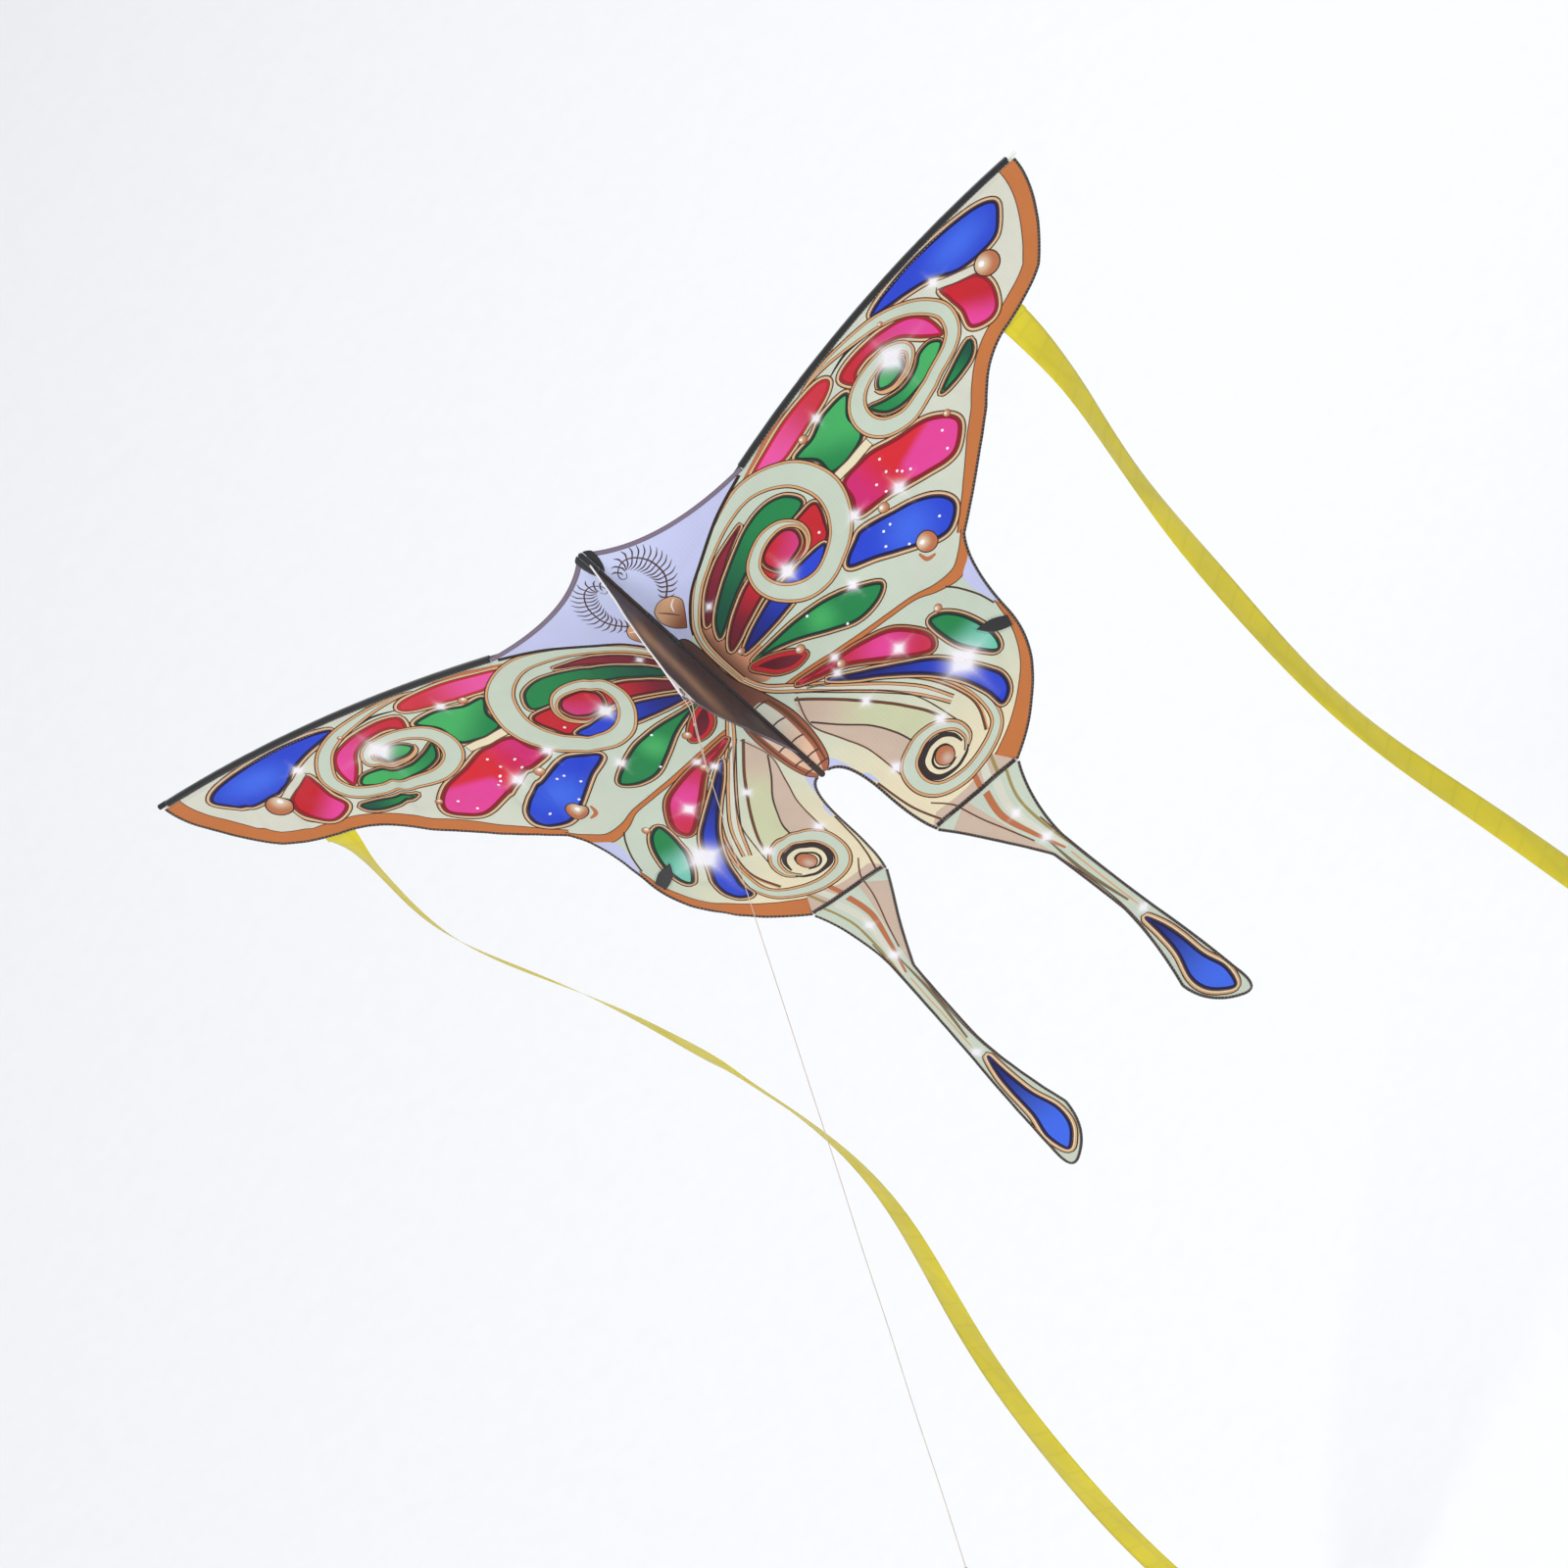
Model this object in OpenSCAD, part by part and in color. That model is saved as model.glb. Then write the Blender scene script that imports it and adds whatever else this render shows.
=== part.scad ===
// Butterfly kite with swallow tails, a cloth keel, two ribbon streamers and a length of flying line.
// +Z runs up the spine to the nose, the printed face and the keel look towards -Y,
// and the wings spread along X. The origin is the centre of the tow eyelet at the keel's tip.
// A wing is drawn flat, as w outwards from the spine and z up from the nose, and then placed.

/* [Wings] */
// Half span, from the spine to the wing tip, measured along the wing
half_span = 735; // [620:5:850]
// Angle at which each wing leans back from flat
dihedral = 18; // [8:1:25]
// Thickness of the sail cloth
cloth = 0.8; // [0.5:0.1:1]
// Width of the tape that binds the free edges
binding_w = 4; // [3:0.5:6]

/* [Frame] */
// Diameter of the spine rod and of the wing rods
rod_d = 4; // [3:0.5:4.5]
// Thickness of the ring that turns on the spine
ring_h = 8; // [6:0.5:8]

/* [Keel] */
// Distance from the spine to the tow eyelet
keel_depth = 131; // [110:1:170]
// Height of the nose above the tow eyelet
nose_height = 169; // [150:1:190]
// Bore of the tow eyelet
eyelet_bore = 6; // [5:0.5:7]

/* [Ribbons] */
// Length of each ribbon
ribbon_length = 1800; // [900:50:2200]
// Width of each ribbon
ribbon_w = 40; // [25:1:45]

/* [Flying line] */
// Diameter of the line
line_d = 1.2; // [1:0.1:1.5]

/* [Hidden] */
$fn = 32;

RIGHT = 1;
LEFT = -1;

// The outlines are drawn for this half span and scaled from it
k = half_span / 735;
running = 0.05;             // radial clearance of a ring on the spine
rod_fit = 0.15;             // radial clearance of a rod in a socket, cap or sleeve
rod_r = rod_d / 2;
spine_l = 491 * k;
sleeve_r = rod_r + 2.2;     // outside of the cloth sleeve round the spine
root_gap = 0.6;             // from the spine sleeve to the cloth of a wing or the keel
root_w = sleeve_r + root_gap;
tape_t = cloth + 0.8;       // thickness of a bound edge
barrel_r = rod_r + 1.5;     // outside of the barrel that holds a rod's end
rod_back = cloth / 2 + barrel_r + 0.2;  // how far behind the cloth a rod's axis lies

// Leading edge: one arc from the spine to the tip
edge_r = 1700 * k;
edge_c = [520 * k, -1758.5 * k];
rod_inset = 4;              // from the leading edge to the rod's axis
rod_arc_r = edge_r - rod_inset;
band_w = 15;                // width of the rod's sleeve
band_t = 2 * cloth + 0.4;   // thickness of its doubled cloth
tube_t = 1.2;               // thickness of a sleeve or pocket round a rod
sleeve_start_w = 214 * k;
tip_w = 728 * k;

// Heights on the spine at which the rods' axes meet it, counted from the nose
rod_ring_z = edge_z(0, rod_arc_r);
strut_ring_z = -190 * k;
ring_step = (ring_h + 0.6) / 2;
ring_r = rod_r + 2.3;
barrel_start = 17;          // where a barrel starts, outwards from the spine
barrel_end = 36;
barrel_floor = 3;           // solid length before the rod's seat
arm_t = 2.8;                // thickness of a socket's arm and web
arm_start = ring_r - 0.9;
arm_back = 0.9;             // from the wing's plane to the front of the arm
web_start = 11;

// Hind corner of the wing and the strut that stretches it
strut_tip = [287, -532] * k;
strut_angle = atan2(strut_tip[1] - strut_ring_z, strut_tip[0]);
rod_angle = atan2(edge_z(barrel_end, rod_arc_r) - rod_ring_z, barrel_end);
strut_l = norm(strut_tip - [0, strut_ring_z]);

// Seam between the wing and its swallow tail
seam_out = [178, -693] * k;
seam_in = [44, -673] * k;
seam_w = 7;
seam_gap = 0.1;             // between two pieces of cloth that are sewn edge to edge
tail_gap = 3;

ribbon_at = [579, -247] * k;
eyelet_wall = 0.8;
eyelet_r = eyelet_bore / 2 + 2.6;
knot_r = 2.2;

// ---- Outlines ----

// Points of a quadratic curve from a to b, drawn towards c, without the last point
function bend(a, c, b, n = 6) = [for (i = [0 : n - 1]) let (t = i / n)
    a * (1 - t) * (1 - t) + c * 2 * t * (1 - t) + b * t * t];

// Points of an arc about c, from angle a0 to a1, both ends included
function arc(c, r, a0, a1, n) = [for (i = [0 : n]) let (a = a0 + (a1 - a0) * i / n)
    c + r * [cos(a), sin(a)]];

// A path moved to its left by d
function beside(path, d) = [for (i = [0 : len(path) - 1])
    let (a = path[max(i - 1, 0)], b = path[min(i + 1, len(path) - 1)], v = (b - a) / norm(b - a))
    path[i] + d * [-v[1], v[0]]];

function reversed(path) = [for (i = [len(path) - 1 : -1 : 0]) path[i]];

// Angle on the leading edge arc of radius r at a distance w from the spine
function edge_angle(w, r) = acos((w - edge_c[0]) / r);

// Height of the leading edge arc of radius r at a distance w from the spine
function edge_z(w, r) = edge_c[1] + sqrt(r * r - (w - edge_c[0]) * (w - edge_c[0]));

// Bound scallop from the nose to the start of the rod's sleeve
head_path = concat(bend([10, -8] * k, [78, -80] * k, [214, -88] * k, 10), [[214, -88] * k]);

// Trailing edge from the wing tip round the hind wing to the seam
trailing_path = concat(
    bend([728, -80] * k, [722, -150] * k, [652, -219] * k),
    bend([652, -219] * k, [618, -240] * k, [560, -247] * k, 4),
    bend([560, -247] * k, [520, -256] * k, [478, -304] * k, 5),
    bend([478, -304] * k, [420, -352] * k, [342, -408] * k, 4),
    bend([342, -408] * k, [314, -446] * k, [309, -530] * k),
    bend([309, -530] * k, [298, -634] * k, seam_out, 9),
    [seam_out]);

// Inner edge of the hind wing, from the seam up to the end of the spine
inner_path = concat(
    bend(seam_in, [33, -640] * k, [33, -575] * k),
    bend([33, -575] * k, [32, -500] * k, [8, -491] * k),
    [[8, -491] * k]);

// Outline of a swallow tail below the seam, from its outer corner round the tip to its inner corner
tail_top = seam_out - [0, tail_gap];
tail_in = seam_in - [0, tail_gap];
tail_path = concat(
    bend(tail_top, [150, -745] * k, [147, -810] * k),
    bend([147, -810] * k, [150, -900] * k, [158, -1000] * k, 4),
    bend([158, -1000] * k, [166, -1080] * k, [169, -1165] * k, 4),
    bend([169, -1165] * k, [174, -1218] * k, [150, -1203] * k),
    bend([150, -1203] * k, [108, -1172] * k, [104, -1118] * k),
    bend([104, -1118] * k, [124, -1040] * k, [127, -965] * k, 5),
    bend([127, -965] * k, [124, -900] * k, [118, -825] * k, 4),
    bend([118, -825] * k, [86, -752] * k, tail_in),
    [tail_in]);

// ---- Placing ----

module sided(side) {
    if (side < 0) mirror([1, 0, 0]) children();
    else children();
}

// From the nose's own frame to the row's
module at_nose() {
    translate([0, keel_depth, nose_height]) children();
}

// Stands a flat drawing (w, z) up on one wing; its thickness then points forwards
module on_wing(side) {
    at_nose() sided(side) rotate([0, 0, dihedral]) rotate([90, 0, 0]) children();
}

// Stands a drawing (forwards from the spine, z) up in the keel's plane
module on_keel() {
    at_nose() rotate([0, 0, -90]) rotate([90, 0, 0]) children();
}

// A flat sheet or strip, centred on its plane
module sheet(points, thickness) {
    translate([0, 0, -thickness / 2]) linear_extrude(thickness) polygon(points);
}

module strip(path, width, thickness) {
    sheet(concat(path, reversed(beside(path, width))), thickness);
}

// Tube or rod section swept along the leading edge arc, between two distances from the spine
module along_edge(w0, w1, r) {
    a0 = edge_angle(w0, r);
    a1 = edge_angle(w1, r);
    translate([edge_c[0], edge_c[1], 0])
        rotate([0, 0, a1]) rotate_extrude(angle = a0 - a1, $fn = 720) children();
}

// ---- Spine ----

// Round rod that carries everything and that both wings turn on
module spine_rod() {
    color("dimgray") at_nose() translate([0, 0, -spine_l + 4]) cylinder(h = spine_l - 8, r = rod_r);
}

// Heights, from the nose, between which the sleeve is cut away for the rings
rod_rings_top = rod_ring_z + ring_step + ring_h / 2 + 0.6;
rod_rings_bottom = rod_ring_z - ring_step - ring_h / 2 - 0.6;
strut_rings_top = strut_ring_z + ring_step + ring_h / 2 + 0.6;
strut_rings_bottom = strut_ring_z - ring_step - ring_h / 2 - 0.6;
clip_h = 3;
nose_cap_h = 36 * k;
tail_pocket_h = 30 * k;

module sleeve_piece(top, bottom) {
    at_nose() translate([0, 0, bottom]) difference() {
        cylinder(h = top - bottom, r = sleeve_r);
        translate([0, 0, -1]) cylinder(h = top - bottom + 2, r = rod_r + running);
    }
}

// Cloth tunnel that the spine lies in, cut away where the rings turn
module spine_sleeve() {
    color("gray") {
        sleeve_piece(-nose_cap_h, rod_rings_top + clip_h);
        sleeve_piece(rod_rings_bottom - clip_h, strut_rings_top + clip_h);
        sleeve_piece(strut_rings_bottom - clip_h, -spine_l + tail_pocket_h);
    }
}

module end_cap(height, outer_r) {
    cap_floor = 1.5;
    difference() {
        union() {
            cylinder(h = height - outer_r, r = outer_r);
            translate([0, 0, height - outer_r]) sphere(r = outer_r);
        }
        translate([0, 0, -1]) cylinder(h = height - cap_floor - 1, r = rod_r + rod_fit);
    }
}

// Black pocket over the top of the spine
module nose_cap() {
    color("black") at_nose() translate([0, 0, -nose_cap_h]) end_cap(nose_cap_h, sleeve_r);
}

// Dark pocket over the bottom of the spine
module tail_pocket() {
    color("saddlebrown") at_nose() translate([0, 0, -spine_l + tail_pocket_h])
        mirror([0, 0, 1]) end_cap(tail_pocket_h, sleeve_r);
}

// Clips that hold the two pairs of rings at their height
module spine_clips() {
    color("black") at_nose() for (z = [rod_rings_top, rod_rings_bottom - clip_h,
                                       strut_rings_top, strut_rings_bottom - clip_h])
        translate([0, 0, z]) difference() {
            cylinder(h = clip_h, r = sleeve_r);
            translate([0, 0, -1]) cylinder(h = clip_h + 2, r = rod_r + running);
        }
}

// ---- Wings ----

// Ring that turns on the spine, with an arm and a barrel that holds the end of a rod.
// The rings of the two wings lie one above the other, half a step each from the rod's own height.
module socket(side, rod_z, angle) {
    ring_z = rod_z + side * ring_step;
    barrel_z = rod_z + barrel_start * tan(angle);
    web_low = min(ring_z - ring_h / 2, barrel_z - 2);
    web_high = max(ring_z + ring_h / 2, barrel_z + 2);
    on_wing(side) difference() {
        union() {
            translate([0, ring_z, 0]) rotate([90, 0, 0]) cylinder(h = ring_h, r = ring_r, center = true);
            translate([arm_start, ring_z - ring_h / 2, -arm_back - arm_t])
                cube([barrel_start + 2 - arm_start, ring_h, arm_t]);
            translate([web_start, web_low, -rod_back - 1])
                cube([barrel_start + 2 - web_start, web_high - web_low, arm_t]);
            along_rod(rod_z, angle, barrel_start, barrel_end, barrel_r);
        }
        translate([0, ring_z, 0]) rotate([90, 0, 0])
            cylinder(h = ring_h + 2, r = rod_r + running, center = true);
        along_rod(rod_z, angle, barrel_start + barrel_floor, barrel_end + 3, rod_r + rod_fit);
    }
}

// Straight cylinder on a rod's axis, between two distances outwards from the spine
module along_rod(rod_z, angle, w0, w1, r) {
    translate([0, rod_z, -rod_back]) rotate([0, 0, angle]) rotate([0, 90, 0])
        translate([0, 0, w0 / cos(angle)]) cylinder(h = (w1 - w0) / cos(angle), r = r);
}

rod_end_w = barrel_start + barrel_floor + 1;

// Springy rod that gives the leading edge its curve
module wing_rod(side) {
    color("dimgray") on_wing(side) translate([0, 0, -rod_back])
        along_edge(rod_end_w, tip_w - 3, rod_arc_r) translate([rod_arc_r, 0]) circle(r = rod_r);
}

// Black cloth sleeve round the rod along the front of the wing
module rod_sleeve(side) {
    color("black") on_wing(side) along_edge(sleeve_start_w, tip_w - 8, edge_r) difference() {
        union() {
            translate([edge_r - band_w, cloth - band_t]) square([band_w - rod_inset, band_t]);
            translate([rod_arc_r, -rod_back]) circle(r = rod_r + tube_t);
            translate([rod_arc_r - rod_r - tube_t, -rod_back])
                square([2 * (rod_r + tube_t), rod_back + cloth]);
        }
        translate([rod_arc_r, -rod_back]) circle(r = rod_r + rod_fit);
    }
}

// Cap on the outer end of the wing rod
module tip_cap(side) {
    color("white") on_wing(side) translate([0, 0, -rod_back]) difference() {
        along_edge(tip_w - 7.5, tip_w + 5, rod_arc_r) translate([rod_arc_r, 0]) circle(r = rod_r + 1.6);
        along_edge(tip_w - 9, tip_w - 2.5, rod_arc_r) translate([rod_arc_r, 0]) circle(r = rod_r + rod_fit);
    }
}

module rod_socket(side) {
    color("black") socket(side, rod_ring_z, rod_angle);
}

module strut_socket(side) {
    color("black") socket(side, strut_ring_z, strut_angle);
}

// Straight rod behind the sail, from the spine to the hind corner
module strut(side) {
    color("dimgray") on_wing(side)
        along_rod(strut_ring_z, strut_angle, rod_end_w, strut_tip[0] - 3, rod_r);
}

// Dark pocket at the hind corner that takes the end of the strut
module strut_pocket(side) {
    pocket_l = 26;
    pocket_w = 18;
    color("black") on_wing(side) translate([0, strut_ring_z, -rod_back]) rotate([0, 0, strut_angle])
        difference() {
            translate([strut_l - pocket_l, 0, 0]) union() {
                translate([0, -pocket_w / 2, 0]) cube([pocket_l, pocket_w, rod_back - cloth / 2]);
                rotate([0, 90, 0]) cylinder(h = pocket_l, r = rod_r + tube_t);
            }
            translate([strut_l - pocket_l - 1, 0, 0]) rotate([0, 90, 0])
                cylinder(h = pocket_l - 1, r = rod_r + rod_fit);
        }
}

// Printed sail from the nose to the seam above the swallow tail
module sail(side) {
    seam_up = [0, seam_w + seam_gap];
    sail_r = edge_r - band_w - seam_gap;
    color("honeydew") on_wing(side) sheet(concat(
        [[root_w, -9 * k]],
        beside(head_path, -binding_w),
        arc(edge_c, sail_r, edge_angle(sleeve_start_w, sail_r), edge_angle(tip_w - 6, sail_r), 16),
        beside([for (i = [1 : len(trailing_path) - 2]) trailing_path[i]], -binding_w),
        [seam_out + seam_up + [-binding_w, 0], seam_in + seam_up + [binding_w, 0]],
        beside([for (i = [1 : len(inner_path) - 1]) inner_path[i]], -binding_w),
        [[root_w, -486 * k]]), cloth);
}

// Tape round the scalloped edge beside the nose
module head_binding(side) {
    color("rosybrown") on_wing(side) strip(head_path, -binding_w, tape_t);
}

// Dark bound edge of the fore and hind wing
module trailing_hem(side) {
    color("black") on_wing(side) strip(trailing_path, -binding_w, tape_t);
}

// Dark bound edge beside the tail end of the spine
module inner_hem(side) {
    color("black") on_wing(side) strip(inner_path, -binding_w, tape_t);
}

// Dark overlapped seam along the bottom of the wing
module seam_tape(side) {
    inset = [binding_w + 0.2, 0];
    color("black") on_wing(side) sheet([seam_out - inset, seam_out - inset + [0, seam_w],
        seam_in + inset + [0, seam_w], seam_in + inset], tape_t);
}

// Cloth tab sewn behind the trailing edge, which the ribbon hangs from
module ribbon_tab(side) {
    tab_t = 1;
    color("goldenrod") on_wing(side)
        translate([ribbon_at[0] - ribbon_w / 2, ribbon_at[1], -tape_t / 2 - tab_t])
            cube([ribbon_w, 12, tab_t]);
}

// Cloth tail with a narrow neck and a rounded end
module swallowtail(side) {
    inside = beside(tail_path, -binding_w);
    corner_w = binding_w + 1;   // the binding crosses the top edge at a slant
    color("honeydew") on_wing(side) sheet(concat([tail_top - [corner_w, 0]],
        [for (i = [1 : len(inside) - 2]) inside[i]], [tail_in + [corner_w, 0]]), cloth);
}

module tail_binding(side) {
    color("black") on_wing(side) strip(tail_path, -binding_w, tape_t);
}

// ---- Ribbons ----

ribbon_top = [ribbon_at[0] * cos(dihedral), ribbon_at[0] * sin(dihedral), ribbon_at[1] - 1.5];
bow = 104;                  // how far a ribbon swings inwards on its way down

// Centre line of a ribbon, hanging from the trailing edge
function ribbon_centre(t) = [-bow * pow(sin(180 * pow(t, 0.75)), 2.2), -ribbon_length * t];

module ribbon(side) {
    path = [for (i = [0 : 24]) ribbon_centre(i / 24)];
    color("gold") at_nose() sided(side) translate(ribbon_top) rotate([90, 0, 0])
        sheet(concat(beside(path, -ribbon_w / 2), reversed(beside(path, ribbon_w / 2))), cloth);
}

// ---- Keel ----

// The keel is drawn forwards from the spine and up from the nose
keel_tip = [keel_depth, -nose_height];
keel_front = [root_w, -20 * k];
keel_rear = [root_w, -437 * k];
keel_round = 10;            // radius of the keel's tip about the eyelet
keel_binding_w = 2.6;
patch_reach = 30;

// Point where the line through a and b crosses the keel's root
function on_root(a, b) = a + (b - a) * (root_w - a[0]) / (b[0] - a[0]);

// A keel edge moved inwards by d; an end that lies at the root stays there
function inset(path, d) = let (p = beside(path, -d), last = len(p) - 1)
    [for (i = [0 : last]) path[i][0] > root_w ? p[i] : on_root(p[i], p[i == 0 ? 1 : last - 1])];

// Direction of the line from a that just touches the round tip, on the side given by sign
function tangent(a, sign) = let (v = keel_tip - a)
    atan2(v[1], v[0]) + sign * asin(keel_round / norm(v));

keel_outline = concat([keel_front],
    arc(keel_tip, keel_round, tangent(keel_front, 1) + 90, tangent(keel_rear, -1) - 90, 12), [keel_rear]);
keel_middle = 7;            // point of the outline where its two edges meet
keel_last = len(keel_outline) - 1;

// Dark cloth triangle sewn along the spine
module keel_panel() {
    color("dimgray") on_keel() difference() {
        sheet(inset(keel_outline, keel_binding_w), cloth);
        translate([keel_tip[0], keel_tip[1], -2]) cylinder(h = 4, r = eyelet_bore / 2 + eyelet_wall + 0.1);
    }
}

// Strip along the keel's outline between two of its points
module keel_strip(from, to) {
    inside = inset(keel_outline, keel_binding_w - 0.1);
    sheet(concat([for (i = [from : to]) keel_outline[i]], [for (i = [to : -1 : from]) inside[i]]), tape_t);
}

// Light piping on the keel's front edge
module keel_piping() {
    color("white") on_keel() keel_strip(0, keel_middle);
}

// Tape on the keel's rear edge
module keel_rear_binding() {
    color("rosybrown") on_keel() keel_strip(keel_middle, keel_last);
}

// Light patch doubled over the keel's tip, round the eyelet
module keel_patch() {
    r = keel_round - keel_binding_w - 0.2;
    rear = tangent(keel_rear, -1);
    front = tangent(keel_front, 1);
    outline = concat(arc(keel_tip, r, front + 90, rear - 90, 12), [
        keel_tip + r * [cos(rear - 90), sin(rear - 90)] - patch_reach * [cos(rear), sin(rear)],
        keel_tip + r * [cos(front + 90), sin(front + 90)] - patch_reach * [cos(front), sin(front)]]);
    color("white") on_keel() for (z = [-cloth / 2 - 0.5, cloth / 2])
        translate([0, 0, z]) difference() {
            linear_extrude(0.5) polygon(outline);
            translate([keel_tip[0], keel_tip[1], -1]) cylinder(h = 4, r = eyelet_r + 0.1);
        }
}

// Metal eyelet: a short tube through the cloth with a flange on each side
module tow_eyelet() {
    flange_z = cloth / 2;
    color("silver") on_keel() translate([keel_tip[0], keel_tip[1], 0]) difference() {
        union() {
            cylinder(h = cloth + 1, r = eyelet_bore / 2 + eyelet_wall, center = true);
            translate([0, 0, flange_z]) cylinder(h = eyelet_wall, r = eyelet_r);
            translate([0, 0, -flange_z - eyelet_wall]) cylinder(h = eyelet_wall, r = eyelet_r);
        }
        cylinder(h = 10, r = eyelet_bore / 2, center = true);
    }
}

// ---- Flying line ----

// Route of the line in the row's frame: the two legs of the tow loop, then the line itself
loop_route = [
    [-30, -63, -68], [-24, -49, -53], [-15, -33, -36], [-8, -20, -22], [-5, -10, -11], [-4, -3, -4],
    [-2, 0, 0], [2, 0, 0],
    [4, -3, -4], [5, -10, -11], [2, -21, -23], [-7, -36, -39], [-18, -52, -55], [-27, -63, -67],
];
line_route = [
    [-32, -71, -75], [-63, -138, -145], [-95, -207, -217], [-126, -275, -288], [-158, -343, -360],
    [-189, -411, -431], [-221, -480, -502], [-252, -548, -574], [-284, -616, -645],
    [-315, -684, -717], [-346, -750, -786],
];
knot_at = [-30, -66, -70];
line_dir = (line_route[10] - line_route[0]) / norm(line_route[10] - line_route[0]);

// Closed tube along a route that keeps close to one plane; each ring lies across the route
module swept(route, r, sides = 8) {
    across = [0, 0.7, -0.7];
    last = len(route) - 1;
    rings = [for (i = [0 : last])
        let (a = route[max(i - 1, 0)], b = route[min(i + 1, last)], d = (b - a) / norm(b - a),
             u = cross(d, across) / norm(cross(d, across)), v = cross(d, u))
        for (j = [0 : sides - 1]) let (q = 360 * j / sides) route[i] + r * (cos(q) * u + sin(q) * v)];
    walls = [for (i = [0 : last - 1], j = [0 : sides - 1])
        let (n = (j + 1) % sides)
        [i * sides + j, (i + 1) * sides + j, (i + 1) * sides + n, i * sides + n]];
    ends = [[for (j = [0 : sides - 1]) j], [for (j = [sides - 1 : -1 : 0]) last * sides + j]];
    polyhedron(points = rings, faces = concat(walls, ends), convexity = 4);
}

// Turns a drawing so that its Z axis runs along the line
module along_line() {
    rotate([0, acos(line_dir[2]), atan2(line_dir[1], line_dir[0])]) children();
}

// Doubled line through the eyelet
module tow_loop() {
    color("ivory") swept(loop_route, line_d / 2);
}

// Knot that joins the loop to the single line
module line_knot() {
    color("ivory") translate(knot_at) along_line() {
        cylinder(h = 8, r = knot_r, center = true, $fn = 24);
    }
}

module flying_line() {
    color("ivory") swept(line_route, line_d / 2);
}

// Tied loop at the far end, for a longer line or a reel
module line_end_loop() {
    loop_r = 11;
    color("ivory") translate(line_route[10]) along_line() {
        translate([0, 0, 3.5]) cylinder(h = 7, r = knot_r, center = true, $fn = 24);
        translate([0, 0, 7 + loop_r - 1]) rotate([90, 0, 0])
            rotate_extrude($fn = 48) translate([loop_r, 0]) circle(r = line_d / 2, $fn = 16);
    }
}

spine_rod();
spine_sleeve();
nose_cap();
tail_pocket();
spine_clips();
wing_rod(RIGHT);  // right_wing_rod
rod_sleeve(RIGHT);  // right_rod_sleeve
tip_cap(RIGHT);  // right_tip_cap
rod_socket(RIGHT);  // right_rod_socket
strut(RIGHT);  // right_strut
strut_socket(RIGHT);  // right_strut_socket
strut_pocket(RIGHT);  // right_strut_pocket
sail(RIGHT);  // right_sail
head_binding(RIGHT);  // right_head_binding
trailing_hem(RIGHT);  // right_trailing_hem
inner_hem(RIGHT);  // right_inner_hem
seam_tape(RIGHT);  // right_seam_tape
ribbon_tab(RIGHT);  // right_ribbon_tab
wing_rod(LEFT);  // left_wing_rod
rod_sleeve(LEFT);  // left_rod_sleeve
tip_cap(LEFT);  // left_tip_cap
rod_socket(LEFT);  // left_rod_socket
strut(LEFT);  // left_strut
strut_socket(LEFT);  // left_strut_socket
strut_pocket(LEFT);  // left_strut_pocket
sail(LEFT);  // left_sail
head_binding(LEFT);  // left_head_binding
trailing_hem(LEFT);  // left_trailing_hem
inner_hem(LEFT);  // left_inner_hem
seam_tape(LEFT);  // left_seam_tape
ribbon_tab(LEFT);  // left_ribbon_tab
swallowtail(RIGHT);  // right_swallowtail
tail_binding(RIGHT);  // right_tail_binding
swallowtail(LEFT);  // left_swallowtail
tail_binding(LEFT);  // left_tail_binding
ribbon(RIGHT);  // right_ribbon
ribbon(LEFT);  // left_ribbon
keel_panel();
keel_piping();
keel_rear_binding();
keel_patch();
tow_eyelet();
tow_loop();
line_knot();
flying_line();
line_end_loop();
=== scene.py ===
"""Looks of a swallow-tailed butterfly kite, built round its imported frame.

Lengths on a wing are in millimetres: w runs out from the spine, z up from the nose,
and a depth points forwards out of the printed face. on_wing() turns them into metres in the row frame.
"""

import math

import bpy
import numpy as np
from mathutils import Matrix, Vector, geometry, noise


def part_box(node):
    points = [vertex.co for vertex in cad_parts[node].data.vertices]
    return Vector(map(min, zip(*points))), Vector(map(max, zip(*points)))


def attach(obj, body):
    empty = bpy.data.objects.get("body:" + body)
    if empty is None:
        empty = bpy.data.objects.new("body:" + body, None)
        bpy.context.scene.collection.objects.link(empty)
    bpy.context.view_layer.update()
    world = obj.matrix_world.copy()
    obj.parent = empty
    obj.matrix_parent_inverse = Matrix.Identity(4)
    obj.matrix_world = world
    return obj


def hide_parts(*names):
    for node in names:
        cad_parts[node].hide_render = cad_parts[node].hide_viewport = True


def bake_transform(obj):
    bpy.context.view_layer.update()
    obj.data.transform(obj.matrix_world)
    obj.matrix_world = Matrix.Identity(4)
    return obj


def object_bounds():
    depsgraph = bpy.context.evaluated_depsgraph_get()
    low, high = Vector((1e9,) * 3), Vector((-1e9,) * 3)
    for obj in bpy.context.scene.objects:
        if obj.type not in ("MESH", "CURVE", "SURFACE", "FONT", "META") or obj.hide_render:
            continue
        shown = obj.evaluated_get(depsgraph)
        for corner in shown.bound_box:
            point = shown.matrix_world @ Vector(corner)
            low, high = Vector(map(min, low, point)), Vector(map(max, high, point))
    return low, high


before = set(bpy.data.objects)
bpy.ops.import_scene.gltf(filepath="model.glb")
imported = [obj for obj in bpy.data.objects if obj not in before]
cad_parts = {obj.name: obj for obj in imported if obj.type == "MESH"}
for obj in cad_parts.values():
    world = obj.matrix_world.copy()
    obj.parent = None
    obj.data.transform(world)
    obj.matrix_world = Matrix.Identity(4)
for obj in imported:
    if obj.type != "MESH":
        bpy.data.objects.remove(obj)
CAD_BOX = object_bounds()

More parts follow.
